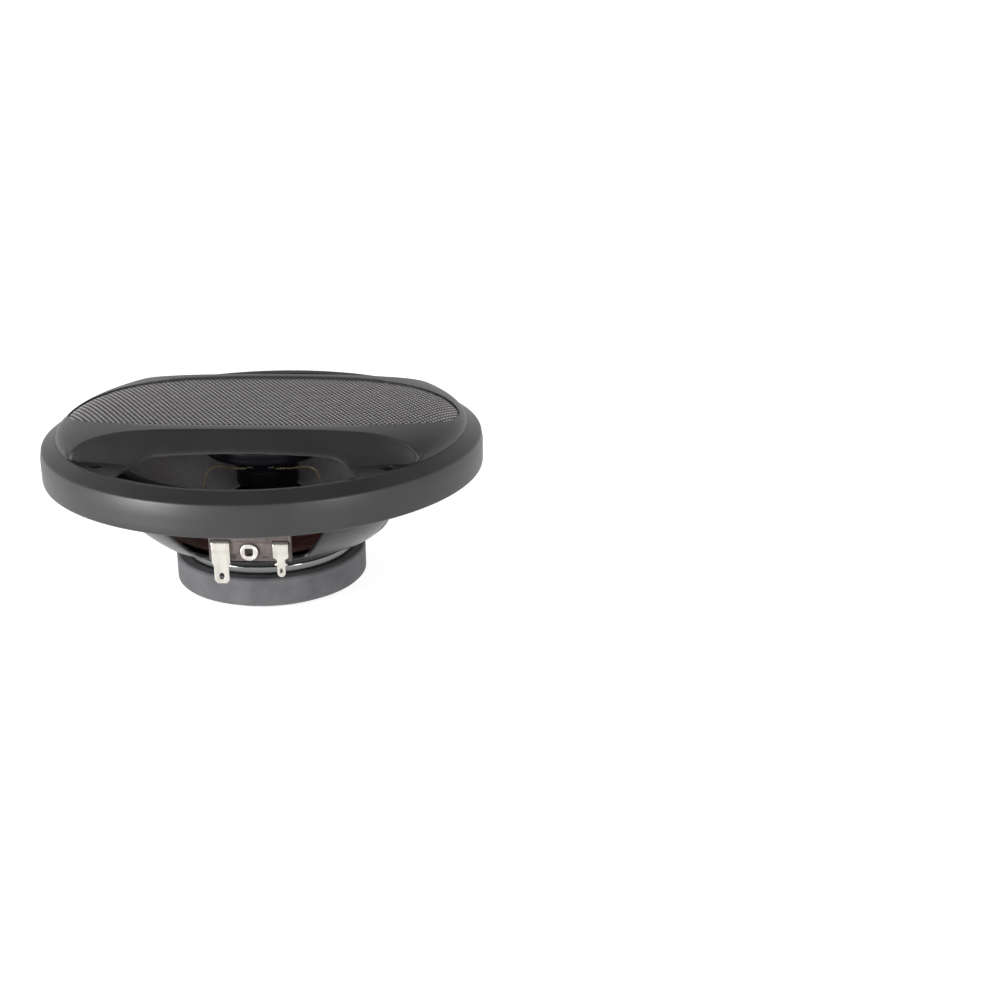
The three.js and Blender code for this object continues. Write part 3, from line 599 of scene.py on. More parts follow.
basket = {
    "steel": 1.2, "panBore": 19.3, "panRadius": 37.0, "ledgeRadius": 47.6, "ledgeHeight": 5.6,
    "bowlTop": 67.8, "belly": 0.72, "sill": 27.4, "head": 46.5, "sillHalf": 22.0, "headHalf": 34.0,
    "corner": 3.2, "depth": 35.1, "bend": 1.2, "shoulderLine": 40, "sillRadius": 49,
    "mountRadius": 75.4, "mountAngle": 44.1, "mountHole": 2.5, "ear": [-45.8, -44.6],
}


def screwPlaces():
    angle = math.radians(basket["mountAngle"])
    x, y = basket["mountRadius"] * math.cos(angle), basket["mountRadius"] * math.sin(angle)
    return [(a * x, b * y) for a in (-1, 1) for b in (-1, 1)]


def bowlRadius(height, ledge, top):
    t = (height - ledge) / (top - ledge)
    reach = basket["bowlTop"] - basket["bend"] - basket["ledgeRadius"]
    return basket["ledgeRadius"] + reach * t * (1 + basket["belly"] * (1 - t))


def windowHalf(height):
    # half the window's width at a height, drawn in towards its rounded corners
    sill, head, corner = basket["sill"], basket["head"], basket["corner"]
    h = min(max(height, sill), head)
    half = basket["sillHalf"] + (basket["headHalf"] - basket["sillHalf"]) * (h - sill) / (head - sill)
    near = min(h - sill, head - h, corner)
    return half - corner + math.sqrt(corner ** 2 - (corner - near) ** 2)


def offsetLine(line, distance):
    moved = []
    for i, (r, z) in enumerate(line):
        (r0, z0), (r1, z1) = line[max(i - 1, 0)], line[min(i + 1, len(line) - 1)]
        length = math.hypot(r1 - r0, z1 - z0)
        moved.append((r - (z1 - z0) / length * distance, z + (r1 - r0) / length * distance))
    return moved


def buildBasket():
    radius, rear = span("basket")[:2]
    front = rear + basket["depth"]
    flangeRear = front - basket["steel"]
    ledge = rear + basket["ledgeHeight"] + 0.6
    top = flangeRear - basket["bend"]
    pan = rounded([
        (basket["panBore"], rear), (basket["panRadius"], rear, 1.6),
        (basket["panRadius"] + 1.0, ledge - 0.6, 1.4), (basket["ledgeRadius"], ledge)],
        closed=False, steps=4)[:-1]
    sill, head = basket["sill"], basket["head"]
    heights = [ledge, ledge + 0.7, sill, sill + 0.25, sill + 0.8, sill + 1.7, sill + 2.9]
    heights += [sill + (head - sill) * k / 9 for k in range(2, 8)]
    heights += [head - 2.9, head - 1.7, head - 0.8, head - 0.25, head, head + 1.6, head + 3.4, top]
    bowl = [(bowlRadius(z, ledge, top), z) for z in heights]
    brim = rounded([
        bowl[-1], (basket["bowlTop"], flangeRear, 1.4), (70.0, flangeRear), (76.0, flangeRear),
        (radius - 0.6, flangeRear)], closed=False, steps=4)[1:]
    line = pan + bowl + brim
    inside = offsetLine(line, basket["steel"])
    firstSill, lastHead = len(pan) + heights.index(sill), len(pan) + heights.index(head)
    inWindow, between = 12, 10
    columns = 4 * (inWindow + between)

    def angleAt(j, r, z):
        sector, place = divmod(j, inWindow + between)
        onBowl = r > basket["shoulderLine"]
        half = math.asin(windowHalf(z) / r if onBowl else windowHalf(sill) / basket["sillRadius"])
        centre = math.pi / 2 * sector - math.pi / 2
        if place <= inWindow:
            return centre - half + 2 * half * place / inWindow
        return centre + half + (math.pi / 2 - 2 * half) * (place - inWindow) / between

    def skin(rows):
        made = []
        for (r, z), (r0, z0) in zip(rows, line):
            angles = [angleAt(j, r0, z0) for j in range(columns)]
            made.append([(r * math.cos(a), r * math.sin(a), z) for a in angles])
        return made

    def kept(i, j):
        inOpening = j % (inWindow + between) < inWindow
        return not (inOpening and firstSill <= i < lastHead)

    bowlPiece = shellOf("basketPressing", skin(line), skin(inside), kept, 45)
    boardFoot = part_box("terminal_board")[0].z / mm
    notch = plate("notch", rectangle(-15.8, boardFoot - 0.3, 16.5, boardFoot + 6, 0.8), -radius, -46.3)
    hole = basket["mountHole"]
    holes = [peg("hole", hole, place, flangeRear - 1, front + 1, "z") for place in screwPlaces()]
    cutBy(bowlPiece, [notch] + holes)
    eased(bowlPiece, 0.25, 2, 55)
    earFront, earBack = basket["ear"]
    rivetHeight = middleHeight("board_rivet")
    earTop = rivetHeight + 4
    earOutline = rounded([(-6, ledge + 0.3), (6, ledge + 0.3), (6, earTop, 1.8), (-6, earTop, 1.8)])
    ear = plate("ear", earOutline, earFront, earBack)
    cutBy(ear, [peg("earHole", 2.1, (0, rivetHeight), earFront - 1, earBack + 1)])
    eased(ear, 0.2)
    fitted(joined("basketBowl", [bowlPiece, ear]), "frame", "basket_paint", "basket")


buildBasket()


def buildSeal():
    radius, rear, front = span("mounting_seal")
    inside = radius - 12
    seal = turned("mountingSeal", [
        (inside, rear, 0.35), (radius, rear, 0.35), (radius, front, 0.35), (inside, front, 0.35)], 144)
    hole = basket["mountHole"] + 0.6
    cutBy(seal, [peg("hole", hole, place, rear - 1, front + 1, "z") for place in screwPlaces()])
    fitted(seal, "frame", "seal_foam", "mounting_seal")


buildSeal()


def buildStuds():
    # staked heads round the pan, set out by a geometry tree
    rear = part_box("pan_stud_1")[0].z / mm
    head = turned("studHead", [
        (0, rear), (2.4, rear, 0.1), (2.4, rear + 0.3, 0.2), (1.9, rear + 0.95, 0.4), (0.8, rear + 1.15, 0.3),
        (0.5, rear + 0.9, 0.2), (0, rear + 0.85)], 24)
    tree = treeFor("studRing", [
        ("Circle radius", "NodeSocketFloat"), ("Count", "NodeSocketInt"), ("Head", "NodeSocketObject"),
        ("Finish", "NodeSocketMaterial")])
    given = node(tree, "NodeGroupInput").outputs
    ring = geometry(tree, "MeshCircle", {"Vertices": given["Count"], "Radius": given["Circle radius"]})
    turnedRing = geometry(tree, "Transform", {"Geometry": ring, "Rotation": (0, 0, math.pi / 4)})
    headMesh = node(tree, "GeometryNodeObjectInfo", {"Object": given["Head"]}).outputs["Geometry"]
    placed = geometry(tree, "InstanceOnPoints", {"Points": turnedRing, "Instance": headMesh})
    closeTree(tree, placed, given["Finish"])
    studs = runTree(linked("panStuds", bpy.data.meshes.new("panStuds")), tree, {
        "Circle radius": 27 * mm, "Count": 4, "Head": head, "Finish": finishes["zinc_plate"]})
    bpy.data.objects.remove(head)
    smoothed(studs)
    fitted(studs, "frame", "zinc_plate", *[f"pan_stud_{k}" for k in range(1, 5)])


buildStuds()
print("basket made")

# Terminals

terminals = {
    "fold": 1.0, "metal": 0.8,
    "wide": {
        "node": "terminal_positive", "width": 7.0, "blade": 5.7, "shoulder": 25.2, "slot": [0.95, 2.6],
        "tip": 0.45, "barbs": False},
    "narrow": {
        "node": "terminal_negative", "width": 5.9, "blade": 3.1, "shoulder": 27.6, "slot": [0.6, 1.9],
        "tip": 1.0, "barbs": True},
    "barbRoot": 1.1, "barbLength": 1.2, "barbReach": 1.25,
}


def buildBoard():
    low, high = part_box("terminal_board")
    left, right, bottom, top = (v / mm for v in (low.x, high.x, low.z, high.z))
    front, back = low.y / mm, high.y / mm
    board = plate("boardSlab", rectangle(left, bottom, right, top, 0.5), front, back)
    cutters = []
    for kind in ("wide", "narrow"):
        tabLow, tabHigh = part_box(terminals[kind]["node"])
        x0, x1, z1 = tabLow.x / mm, tabHigh.x / mm, tabHigh.z / mm
        opening = rectangle(x0 - 0.25, z1 - 1.1, x1 + 0.25, z1 + 0.3, 0.2)
        cutters.append(plate("slot", opening, front - 1, back + 1))
    rivetHeight = middleHeight("board_rivet")
    cutters.append(peg("rivetHole", 2.1, (0, rivetHeight), front - 1, back + 1))
    cutBy(board, cutters)
    eased(board, 0.12)
    # a plus beside the wide tab and a minus beside the narrow one
    ink, halfStroke, apart, z = 0.05, 0.28, 5.9, rivetHeight - 2.3
    strokes = [(-apart, 1, halfStroke, 1.0), (-apart, halfStroke, 1, 1.2), (apart, 1, halfStroke, 1.0)]
    marks = [
        plate("stroke", rectangle(x - wide, z - tall, x + wide, z + tall), front - ink * proud, front + ink)
        for x, wide, tall, proud in strokes]
    plainCount = len(board.data.polygons)
    whole = joined("terminalBoard", [board] + marks)
    whole.data.materials.append(finishes["phenolic_board"])
    whole.data.materials.append(boardInk())
    for face in whole.data.polygons[plainCount:]:
        face.material_index = 1
    fitted(whole, "frame", "phenolic_board", "terminal_board")


def buildTab(name, tab):
    # a strip that folds over the slot in the board and leans out as it comes down
    low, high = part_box(tab["node"])
    middle = (low.x + high.x) / 2 / mm
    top, bottom, front, tail = high.z / mm, low.z / mm, low.y / mm, high.y / mm
    metal, fold = terminals["metal"], terminals["fold"]
    half, blade = tab["width"] / 2, tab["blade"] / 2
    shoulder = tab["shoulder"]
    face = front + metal / 2
    path = rounded([
        (tail - metal / 2, top - 3.4), (tail - metal / 2, top - metal / 2, fold),
        (face, top - metal / 2, fold), (face - 0.15, top - 3.6, 1.0), (face + 0.1, top - 5.2, 2.0),
        (face, shoulder, 3.0), (face - 0.1, bottom)],
        closed=False, steps=5)

    def halfAt(z, folded):
        if folded or z > shoulder + 1:
            return half
        if z > shoulder:
            return blade + (half - blade) * (z - shoulder)
        tip = blade * tab["tip"]
        if z > bottom + tip:
            below = (shoulder - terminals["barbRoot"] - z) / terminals["barbLength"]
            return blade + (terminals["barbReach"] * below if tab["barbs"] and 0 < below < 1 else 0)
        drop = (bottom + tip - z) / tip
        if tab["barbs"]:
            return max(blade * math.sqrt(max(0.0, 1 - drop ** 2)), blade * 0.3)
        return blade - tip * 0.85 * drop

    fine = []
    for (y0, z0), (y1, z1) in zip(path, path[1:]):
        count = max(1, round(math.hypot(y1 - y0, z1 - z0) / 0.28))
        fine += [(y0 + (y1 - y0) * k / count, z0 + (z1 - z0) * k / count) for k in range(count)]
    fine.append(path[-1])
    outer, inner = offsetLine(fine, metal / 2), offsetLine(fine, -metal / 2)
    across = 8
    side = across + 1
    row = 2 * side
    points, faces = [], []
    for i, (y, z) in enumerate(fine):
        reach = halfAt(z, i < len(fine) * 0.3)
        for sideY, sideZ in (outer[i], inner[i]):
            points += [(middle - reach + 2 * reach * k / across, sideY, sideZ) for k in range(side)]
    for i in range(len(fine) - 1):
        a, b = i * row, (i + 1) * row
        for k in range(across):
            faces.append((a + k, a + k + 1, b + k + 1, b + k))
            faces.append((a + side + k + 1, a + side + k, b + side + k, b + side + k + 1))
        faces += [(a + k, b + k, b + side + k, a + side + k) for k in (0, across)]
    for a in (0, (len(fine) - 1) * row):
        faces += [(a + k, a + k + 1, a + side + k + 1, a + side + k) for k in range(across)]
    strip = solid(name, points, faces, 45)
    slotHalf, slotLength = tab["slot"]
    z = bottom + 1.7
    hole = plate("slot", rectangle(
        middle - slotHalf, z, middle + slotHalf, z + slotLength, slotHalf * 0.98), front - 2, front + 3)
    cutBy(strip, [hole])
    eased(strip, 0.12, 2, 60)
    fitted(strip, "frame", "tinned_brass", tab["node"])


def buildRivet():
    low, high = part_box("board_rivet")
    height = middleHeight("board_rivet")
    front, back = low.y / mm, high.y / mm
    square, facets = 1.45, 48
    # each ring is [radius, y, squareness of its outline]
    tailRings = [
        (1.8, back - 0.4, 0), (2.5, back - 0.35, 0), (2.6, back, 0), (1.0, back, 0), (1.0, back - 0.6, 0)]
    rearHead = turnedAcross("rivetTail", tailRings, height, facets)
    headRings = [
        (1.75, back - 0.5, 0), (1.75, front + 0.9, 0), (3.35, front + 0.9, 0), (3.5, front + 0.7, 0),
        (3.5, front + 0.4, 0), (3.3, front + 0.12, 0), (2.9, front, 0), (2.35, front + 0.03, 0.3),
        (square * 1.12, front + 0.12, 1), (square, front + 0.35, 1), (square * 0.96, front + 2.2, 1),
        (0, front + 2.2, 1)]
    head = turnedAcross("rivetHead", headRings, height, facets)
    whole = joined("boardRivet", [head, rearHead])
    whole.data.materials.append(finishes["tinned_brass"])
    whole.data.materials.append(finishes["phenolic_board"])
    # the square hole's metal walls and floor take the dark board finish: painted shade inside the hole
    for face in whole.data.polygons:
        middle = face.center / mm
        across = max(abs(middle.x), abs(middle.z - height))
        if front + 0.3 < middle.y < front + 2.5 and across < square * 1.05:
            face.material_index = 1
    fitted(whole, "frame", "tinned_brass", "board_rivet")


def turnedAcross(name, rings, height, facets):
    # rings about a line along Y, each a circle, a square or between the two
    points, faces = [], []
    for radius, y, squareness in rings:
        for k in range(facets):
            angle = 2 * math.pi * (k + 0.5) / facets
            c, s = math.cos(angle), math.sin(angle)
            stretch = 1 / max(abs(c), abs(s))
            reach = radius * (1 + (stretch - 1) * squareness * 0.97)
            points.append((reach * c, y, height + reach * s))
    for i in range(len(rings) - 1):
        a, b = i * facets, (i + 1) * facets
        faces += [(a + k, a + (k + 1) % facets, b + (k + 1) % facets, b + k) for k in range(facets)]
    last = (len(rings) - 1) * facets
    if rings[0][0] > 0:
        faces.append(list(range(facets)))
    if rings[-1][0] > 0:
        faces.append(list(range(last, last + facets)))
    return solid(name, points, faces)


buildBoard()
buildTab("wideTab", terminals["wide"])
buildTab("narrowTab", terminals["narrow"])
buildRivet()
print("terminals made")

# Cone, coil and suspension

cone = {"neck": 15.8, "rim": 56.4, "neckHeight": 37.2, "depth": 15.2, "paper": 0.8, "collar": 3.0}
rollLine = {"inner": 57.4, "outer": 66.6, "base": 54.9, "height": 4.4, "rubber": 0.8}


def coneFront(radius):
    t = (radius - cone["neck"]) / (cone["rim"] - cone["neck"])
    return cone["neckHeight"] + cone["depth"] * (1.5 * t - 0.5 * t * t)


def buildWinding(name, cadNode, body, turns, wire, fill, wall):
    # one layer of wire on its tube, each turn's outside half round
    def outline(radius, rear, top):
        pitch = (top - rear) / turns
        line = [(radius - wall, rear)]
        for k in range(turns):
            middle = rear + pitch * (k + 0.5)
            line += [
                (radius - wire + wire * math.cos(a), middle + pitch * fill * math.sin(a))
                for a in (-1.4, -0.7, 0, 0.7, 1.4)]
        return line + [(radius - wall, top)]

    turnedPiece(name, cadNode, body, outline, 96, 60)


def buildCone():
    neck, rim, paper = cone["neck"], cone["rim"], cone["paper"]
    steps = 28
    radii = [neck + (rim - neck) * k / steps for k in range(steps + 1)]
    front = [(r, coneFront(r)) for r in radii]
    rear = [(r, coneFront(r) - paper) for r in radii[1:]]
    inside = neck - 0.6
    foot = cone["neckHeight"] - cone["collar"]
    outline = [(inside, foot, 0.15), (neck, foot, 0.15), (neck, cone["neckHeight"] - paper, 0.4)] + rear
    outline += list(reversed(front)) + [(inside, cone["neckHeight"] + 0.05, 0.2)]
    fitted(turned("coneBody", outline, 144, 50), "cone_assembly", "cone_paper", "cone")
    turnedPiece("coilFormer", "voice_coil_former", "cone_assembly", lambda radius, rear, top: [
        (radius - 0.4, rear, 0.08), (radius, rear, 0.08), (radius, top - 0.9),
        (radius + 0.15, top - 0.6, 0.2), (radius + 0.15, top - 0.15, 0.1), (radius - 0.3, top, 0.1),
        (radius - 0.4, top - 0.1)], 96)
    buildWinding("coilWinding", "voice_coil", "cone_assembly", 26, 0.13, 0.48, 0.6)


def buildSurround():
    inner, outer = rollLine["inner"], rollLine["outer"]
    base, rubber, height = rollLine["base"], rollLine["rubber"], rollLine["height"]
    bead, edge = cone["rim"] + 0.3, span("surround")[0]
    middle, half = (inner + outer) / 2, (outer - inner) / 2
    seat = span("surround")[1]
    steps = 22
    angles = [math.pi * (1 - k / steps) for k in range(steps + 1)]
    below = [(middle + (half - rubber) * math.cos(a), base + height * math.sin(a)) for a in angles]
    above = [(middle + half * math.cos(a), base + rubber + height * math.sin(a)) for a in reversed(angles)]
    outline = [(bead, seat + 0.1, 0.2), (inner, seat, 0.2)] + below
    outline += [(edge, base, 0.2), (edge, base + rubber, 0.3), (outer + 1.2, base + rubber, 0.6)]
    outline += above + [(bead, base + rubber, 0.3)]
    ring = turned("surroundRoll", outline, 144, 60)
    flexing(ring, "surround_rubber", fromRim(outer, inner), "surround")
    turnedPiece("clampRing", "clamp_ring", "frame", lambda radius, rear, front: [
        (radius - 2.4, rear, 0.25), (radius, rear, 0.25), (radius, front, 0.4), (radius - 0.8, front, 0.3),
        (radius - 1.1, front - 0.25, 0.2), (radius - 1.4, front, 0.3), (radius - 2.4, front, 0.4)], 144)


def buildSpider():
    radius, rear, front = span("spider")
    inner, landing = span("voice_coil_former")[0] + 0.3, radius - 3.4
    cloth, waves = 0.5, 5
    steps = waves * 12
    line = []
    for k in range(steps + 1):
        t = k / steps
        lift = (front - rear - cloth) * (0.5 - 0.5 * math.cos(2 * math.pi * waves * t))
        line.append((inner + (landing - inner) * t, rear + lift))
    line += [(landing + 0.8, rear), (radius, rear)]
    disc = turned("spiderDisc", skinned(line, cloth), 144, 70)
    flexing(disc, "spider_cloth", fromRim(landing, inner + 1), "spider")


buildCone()
buildSurround()
buildSpider()
print("cone and suspension made")

# Tweeter on its post

tweeter = {
    "inside": 23.0, "wall": 2.0, "skin": 1.3, "hub": 3.2, "hubRadius": 12.6, "knee": 19.0, "rim": 7.0,
    "waist": 9.8, "bore": 2.2, "rollInner": 9.4,
}


def buildPost():
    radius, foot, top = span("tweeter_post")
    waist, bore = tweeter["waist"], tweeter["bore"]
    boltTop = span("tweeter_bolt")[2] + 0.3
    shoulder = top - 7.1
    body = turned("tweeterPost", [
        (bore, foot, 0.3), (waist, foot, 0.4), (waist, foot + 2.0, 0.3), (waist - 0.35, foot + 2.2, 0.2),
        (waist - 0.35, foot + 3.0, 0.2), (waist, foot + 3.2, 0.3), (waist, shoulder - 4, 2.0),
        (radius, shoulder, 1.5), (radius, top - 0.9, 0.2), (radius - 0.25, top - 0.6, 0.2),
        (radius - 0.25, top, 0.1), (0, top), (0, boltTop), (bore, boltTop, 0.3)], 96)
    fitted(body, "frame", "tweeter_plastic", "tweeter_post")
    radius, rear, top = span("tweeter_bolt")
    shank, headFront, plain, flanks = tweeter["bore"] - 0.3, 4.7, 6, 60
    threads = [
        (shank - 0.22 * (k % 2), headFront + plain + (top - headFront - plain - 1) * k / flanks)
        for k in range(flanks + 1)]
    outline = [(0, rear), (radius - 0.5, rear, 0.3), (radius, rear + 0.6, 0.4), (radius, headFront, 0.3)]
    outline += [(shank, headFront, 0.2), (shank, headFront + plain)] + threads
    bolt = turned("tweeterBolt", outline + [(shank, top - 0.9, 0.2), (shank - 0.7, top), (0, top)], 48)
    bar, arm, depth = 0.55, 2.6, rear + 1.6
    cross = ((arm, bar), (bar, arm))
    cutBy(bolt, [plate("bar", rectangle(-a, -b, a, b, 0.2), rear - 1, depth, "z") for a, b in cross])
    fitted(bolt, "frame", "zinc_plate", "tweeter_bolt")


def buildHead():
    radius, rear, face = span("tweeter_housing")
    knee, wall, inside, skin = tweeter["knee"], tweeter["wall"], tweeter["inside"], tweeter["skin"]
    hub, hubInside = tweeter["hubRadius"], span("tweeter_cup")[0] + 0.3
    rim, dish = rear + tweeter["rim"], rear + tweeter["hub"]
    shell = turned("tweeterHousing", [
        (0, rear), (hub, rear, 0.15), (hub, dish, 0.5), (knee, dish + 0.9, 2.5),
        (radius - 0.6, rim - 0.8, 1.0),
        (radius, rim, 0.5), (radius, rim + 1.3, 0.1), (radius - 0.2, rim + 1.45, 0.1),
        (radius - 0.2, rim + 1.75, 0.1), (radius, rim + 1.9, 0.1), (radius, face, 0.7),
        (inside + 0.5, face, 0.3), (inside, face - 0.7, 0.3),
        (inside, rim + 0.8, 0.5), (knee + 0.5, dish + skin + 0.9, 0.8), (knee - 4, dish + skin, 0.8),
        (hubInside, dish + skin, 0.2), (hubInside, rear + wall, 0.2), (0, rear + wall)], 144)
    fitted(shell, "frame", "tweeter_plastic", "tweeter_housing")


def buildTweeterMotor():
    wall, gap = 1.2, 0.3
    turnedPiece("tweeterCup", "tweeter_cup", "frame", lambda radius, rear, front: [
        (0, rear), (radius, rear, 0.8), (radius, front, 0.25), (radius - wall, front, 0.25),
        (radius - wall, rear + wall, 0.4), (0, rear + wall)], 96)
    turnedPiece("tweeterMagnet", "tweeter_magnet", "frame", lambda radius, rear, front: [
        (0, rear), (radius, rear, 0.3), (radius, front, 0.3), (0, front)], 96)
    turnedPiece("tweeterPole", "tweeter_pole_plate", "frame", lambda radius, rear, front: [
        (0, rear), (radius, rear, 0.15), (radius, front, 0.3), (2.0, front, 0.4), (1.4, front - 0.4, 0.3),
        (0, front - 0.4)], 96)
    hub = span("tweeter_cup")[0] + gap
    turnedPiece("tweeterCarrier", "tweeter_carrier", "frame", lambda radius, rear, front: [
        (hub, rear, 0.2), (radius, rear, 0.2), (radius, front, 0.2), (hub + 4.6, front, 0.2),
        (hub + 4.2, front - 0.3, 0.2), (hub, front - 0.3, 0.2)], 96)
    throat = span("tweeter_face_plate")[0] - 8.5
    turnedPiece("tweeterFacePlate", "tweeter_face_plate", "frame", lambda radius, rear, front: [
        (throat, rear, 0.1), (radius, rear, 0.3), (radius, front, 0.4), (throat + 4.2, front, 0.8),
        (throat + 0.6, rear + 0.5, 0.5)], 96)


def buildDome():
    radius, rear, front = span("tweeter_dome")
    film = 0.4
    rise = front - rear - film
    sphere = (radius ** 2 + rise ** 2) / (2 * rise)
    steps = 20
    line = []
    for k in range(steps + 1):
        r = radius * (1 - k / steps)
        line.append((r, rear + math.sqrt(sphere ** 2 - r ** 2) - sphere + rise))
    dome = turned("tweeterDome", skinned(line, film), 96, 60)
    fitted(dome, "tweeter_diaphragm", "dome_film", "tweeter_dome")
    outer, rear, front = span("tweeter_dome_roll")
    inner, edge = tweeter["rollInner"], outer - 2.0
    lift = front - rear - film
    steps = 14
    line = [
        (inner + (edge - inner) * k / steps, rear + lift * math.sin(math.pi * k / steps))
        for k in range(steps + 1)]
    roll = turned("tweeterRoll", skinned(line + [(outer, rear)], film), 96, 60)
    flexing(roll, "dome_film", fromRim(edge, inner), "tweeter_dome_roll")
    buildWinding("tweeterCoil", "tweeter_coil", "tweeter_diaphragm", 12, 0.08, 0.46, 0.5)


def buildCapacitor():
    low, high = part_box("tweeter_capacitor")
    middle = (low + high) / 2
    half, radius = (high.x - low.x) / 2 / mm, (high.z - low.z) / 2 / mm
    can = turned("tweeterCapacitor", [
        (0, -half + 0.45), (radius - 0.5, -half + 0.45, 0.15), (radius - 0.3, -half, 0.2),
        (radius, -half, 0.3), (radius, half - 1.5, 0.15), (radius - 0.22, half - 1.2, 0.15),
        (radius, half - 0.9, 0.15), (radius, half, 0.3), (radius - 0.3, half, 0.2),
        (radius - 0.5, half - 0.35, 0.15), (0, half - 0.35)], 48)
    can.data.transform(Matrix.Translation(middle) @ Matrix.Rotation(math.pi / 2, 4, "Y"))
    fitted(can, "frame", "capacitor_sleeve", "tweeter_capacitor")


def buildTags():
    for side in ("left", "right"):
        low, high = (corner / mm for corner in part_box(f"tweeter_tag_{side}"))
        middle = (low.x + high.x) / 2
        blade = plate("tweeterTag" + side.capitalize(), rounded([
            (low.x + 0.3, high.y), (low.x, high.y - 1.2, 0.5), (low.x, low.y, 1.1), (high.x, low.y, 1.1),
            (high.x, high.y - 1.2, 0.5), (high.x - 0.3, high.y)]), low.z, high.z, "z")
        cutBy(blade, [peg("eye", 0.45, (middle, low.y + 0.95), low.z - 1, high.z + 1, "z", 20)])
        eased(blade, 0.07)
        solder = turned("solder", [
            (0, -0.05), (0.75, -0.05, 0.1), (0.7, 0.12, 0.15), (0.35, 0.32, 0.15), (0, 0.38)], 24)
        solder.data.transform(Matrix.Translation(Vector((middle, low.y + 1.95, high.z)) * mm))
        fitted(joined(blade.name, [blade, solder]), "frame", "tinned_brass", f"tweeter_tag_{side}")


buildPost()
buildHead()
buildTweeterMotor()
buildDome()
buildCapacitor()
buildTags()
print("tweeter made")

# Leads: twisted braid swept along a smooth run

leads = {
    "thick": 0.42, "strands": 2, "twist": 2400.0, "rings": 190,
    "tweeter": [(5.9, -14.2, 52.8), (12.0, -13.0, 52.6), (17.6, -10.4, 52.4), (21.6, -11.4, 51.0)],
    "tweeterLanding": [(23.4, -14.6, 2.3), (22.8, -18.4, 1.1), (20.6, -21.6, 0.9)],
    "woofer": [(11.4, -43.6, 33.4), (11.6, -39.4, 31.8), (13.0, -34.0, 32.0), (15.4, -28.6, 35.2)],
    "wooferEnd": (16.8, -25.0),
}


def braidTree():
    tree = treeFor("twistedBraid", [
        ("Rings", "NodeSocketInt"), ("Thickness", "NodeSocketFloat"), ("Strands", "NodeSocketFloat"),
        ("Twist", "NodeSocketFloat"), ("Finish", "NodeSocketMaterial")])
    given = node(tree, "NodeGroupInput").outputs
    line = geometry(tree, "MeshToCurve", {"Mesh": given["Geometry"]})
    run = geometry(tree, "ResampleCurve", {"Curve": line, "Count": given["Rings"]})
    along = node(tree, "GeometryNodeSplineParameter").outputs["Length"]
    twist = sums(tree, "MULTIPLY", along, given["Twist"])
    tilted = geometry(tree, "SetCurveTilt", {"Curve": run, "Tilt": twist})
    circle = geometry(tree, "CurvePrimitiveCircle", {"Resolution": 30, "Radius": given["Thickness"]})
    position = geometry(tree, "InputPosition")
    split = node(tree, "ShaderNodeSeparateXYZ", {0: position})
    angle = sums(tree, "ARCTAN2", split.outputs["Y"], split.outputs["X"])
    wave = sums(tree, "COSINE", sums(tree, "MULTIPLY", angle, given["Strands"]))
    scale = sums(tree, "ADD", sums(tree, "MULTIPLY", wave, 0.3), 0.85)
    lobed = node(tree, "ShaderNodeVectorMath", {0: position, "Scale": scale}, operation="SCALE").outputs[0]
    profile = geometry(tree, "SetPosition", {"Geometry": circle, "Position": lobed})
    swept = geometry(tree, "CurveToMesh", {"Curve": tilted, "Profile Curve": profile, "Fill Caps": True})
    closeTree(tree, swept, given["Finish"])
    return tree


def smoothRun(points, count=60):
    chords = [0.0]
    for a, b in zip(points, points[1:]):
        chords.append(chords[-1] + (Vector(b) - Vector(a)).length)
    run = []
    for k in range(count + 1):
        at = chords[-1] * min(k / count, 0.99999)
        rows = [[(c, p[axis]) for c, p in zip(chords, points)] for axis in range(3)]
        run.append(Vector([curveThrough(row, at) for row in rows]))
    return run


def buildLead(cadName, points, tree):
    kind, word, side = cadName.split("_")
    name = kind + word.capitalize() + side.capitalize()
    run = smoothRun(points)
    mesh = bpy.data.meshes.new(name)
    mesh.from_pydata([p * mm for p in run], [(k, k + 1) for k in range(len(run) - 1)], [])
    lead = runTree(linked(name, mesh), tree, {
        "Rings": leads["rings"], "Thickness": leads["thick"] * mm, "Strands": float(leads["strands"]),
        "Twist": leads["twist"], "Finish": finishes["lead_braid"]})
    smoothed(lead, 60)
    lead.data.materials.clear()

    def share(p):
        # its share along the run: 0 over its first twentieth, 1 over its last
        nearest = min(range(len(run)), key=lambda k: (run[k] - p).length_squared)
        return (nearest / (len(run) - 1) - 0.05) / 0.9

    flexing(lead, "lead_braid", share, cadName)


def buildLeads():
    tree = braidTree()
    for sideName, side in (("left", -1), ("right", 1)):
        hung = [(side * x, y, z) for x, y, z in leads["tweeter"]]
        landed = [
            (side * x, y, coneFront(math.hypot(x, y)) + lift) for x, y, lift in leads["tweeterLanding"]]
        buildLead(f"tweeter_lead_{sideName}", hung + landed, tree)
        x, y = leads["wooferEnd"]
        end = (side * x, y, coneFront(math.hypot(x, y)) - cone["paper"] - leads["thick"] - 0.3)
        under = [(side * px, py, pz) for px, py, pz in leads["woofer"]] + [end]
        buildLead(f"woofer_lead_{sideName}", under, tree)


buildLeads()
print("leads made")

# Grille: a moulded dome with a central mesh and two wells

grille = {
    "lip": 81.6, "lipHeight": 67.45, "rise": 9.85, "fullness": 5.0, "floor": 66.6, "shell": 2.0,
    "bandHalfLength": 78.5, "bandHalfWidth": 34.2, "squareness": 3.2,
    "ridge": [(0, 40.0), (20.5, 39.8), (40, 40.0), (50, 40.8), (60, 44.0), (66.5, 48.6)],
    "foot": [(0, 57.8), (20, 56.6), (38, 53.5), (47, 50.6), (56, 48.8), (66.5, 49.2)],
    "slotRear": 49.3, "slotHalf": 43.6, "slotCorner": 12.0, "slotFront": 78.9,
    "tip": 65.6, "fan": 18, "lipStart": 81.25, "seam": 2.6, "groove": 0.22,
}


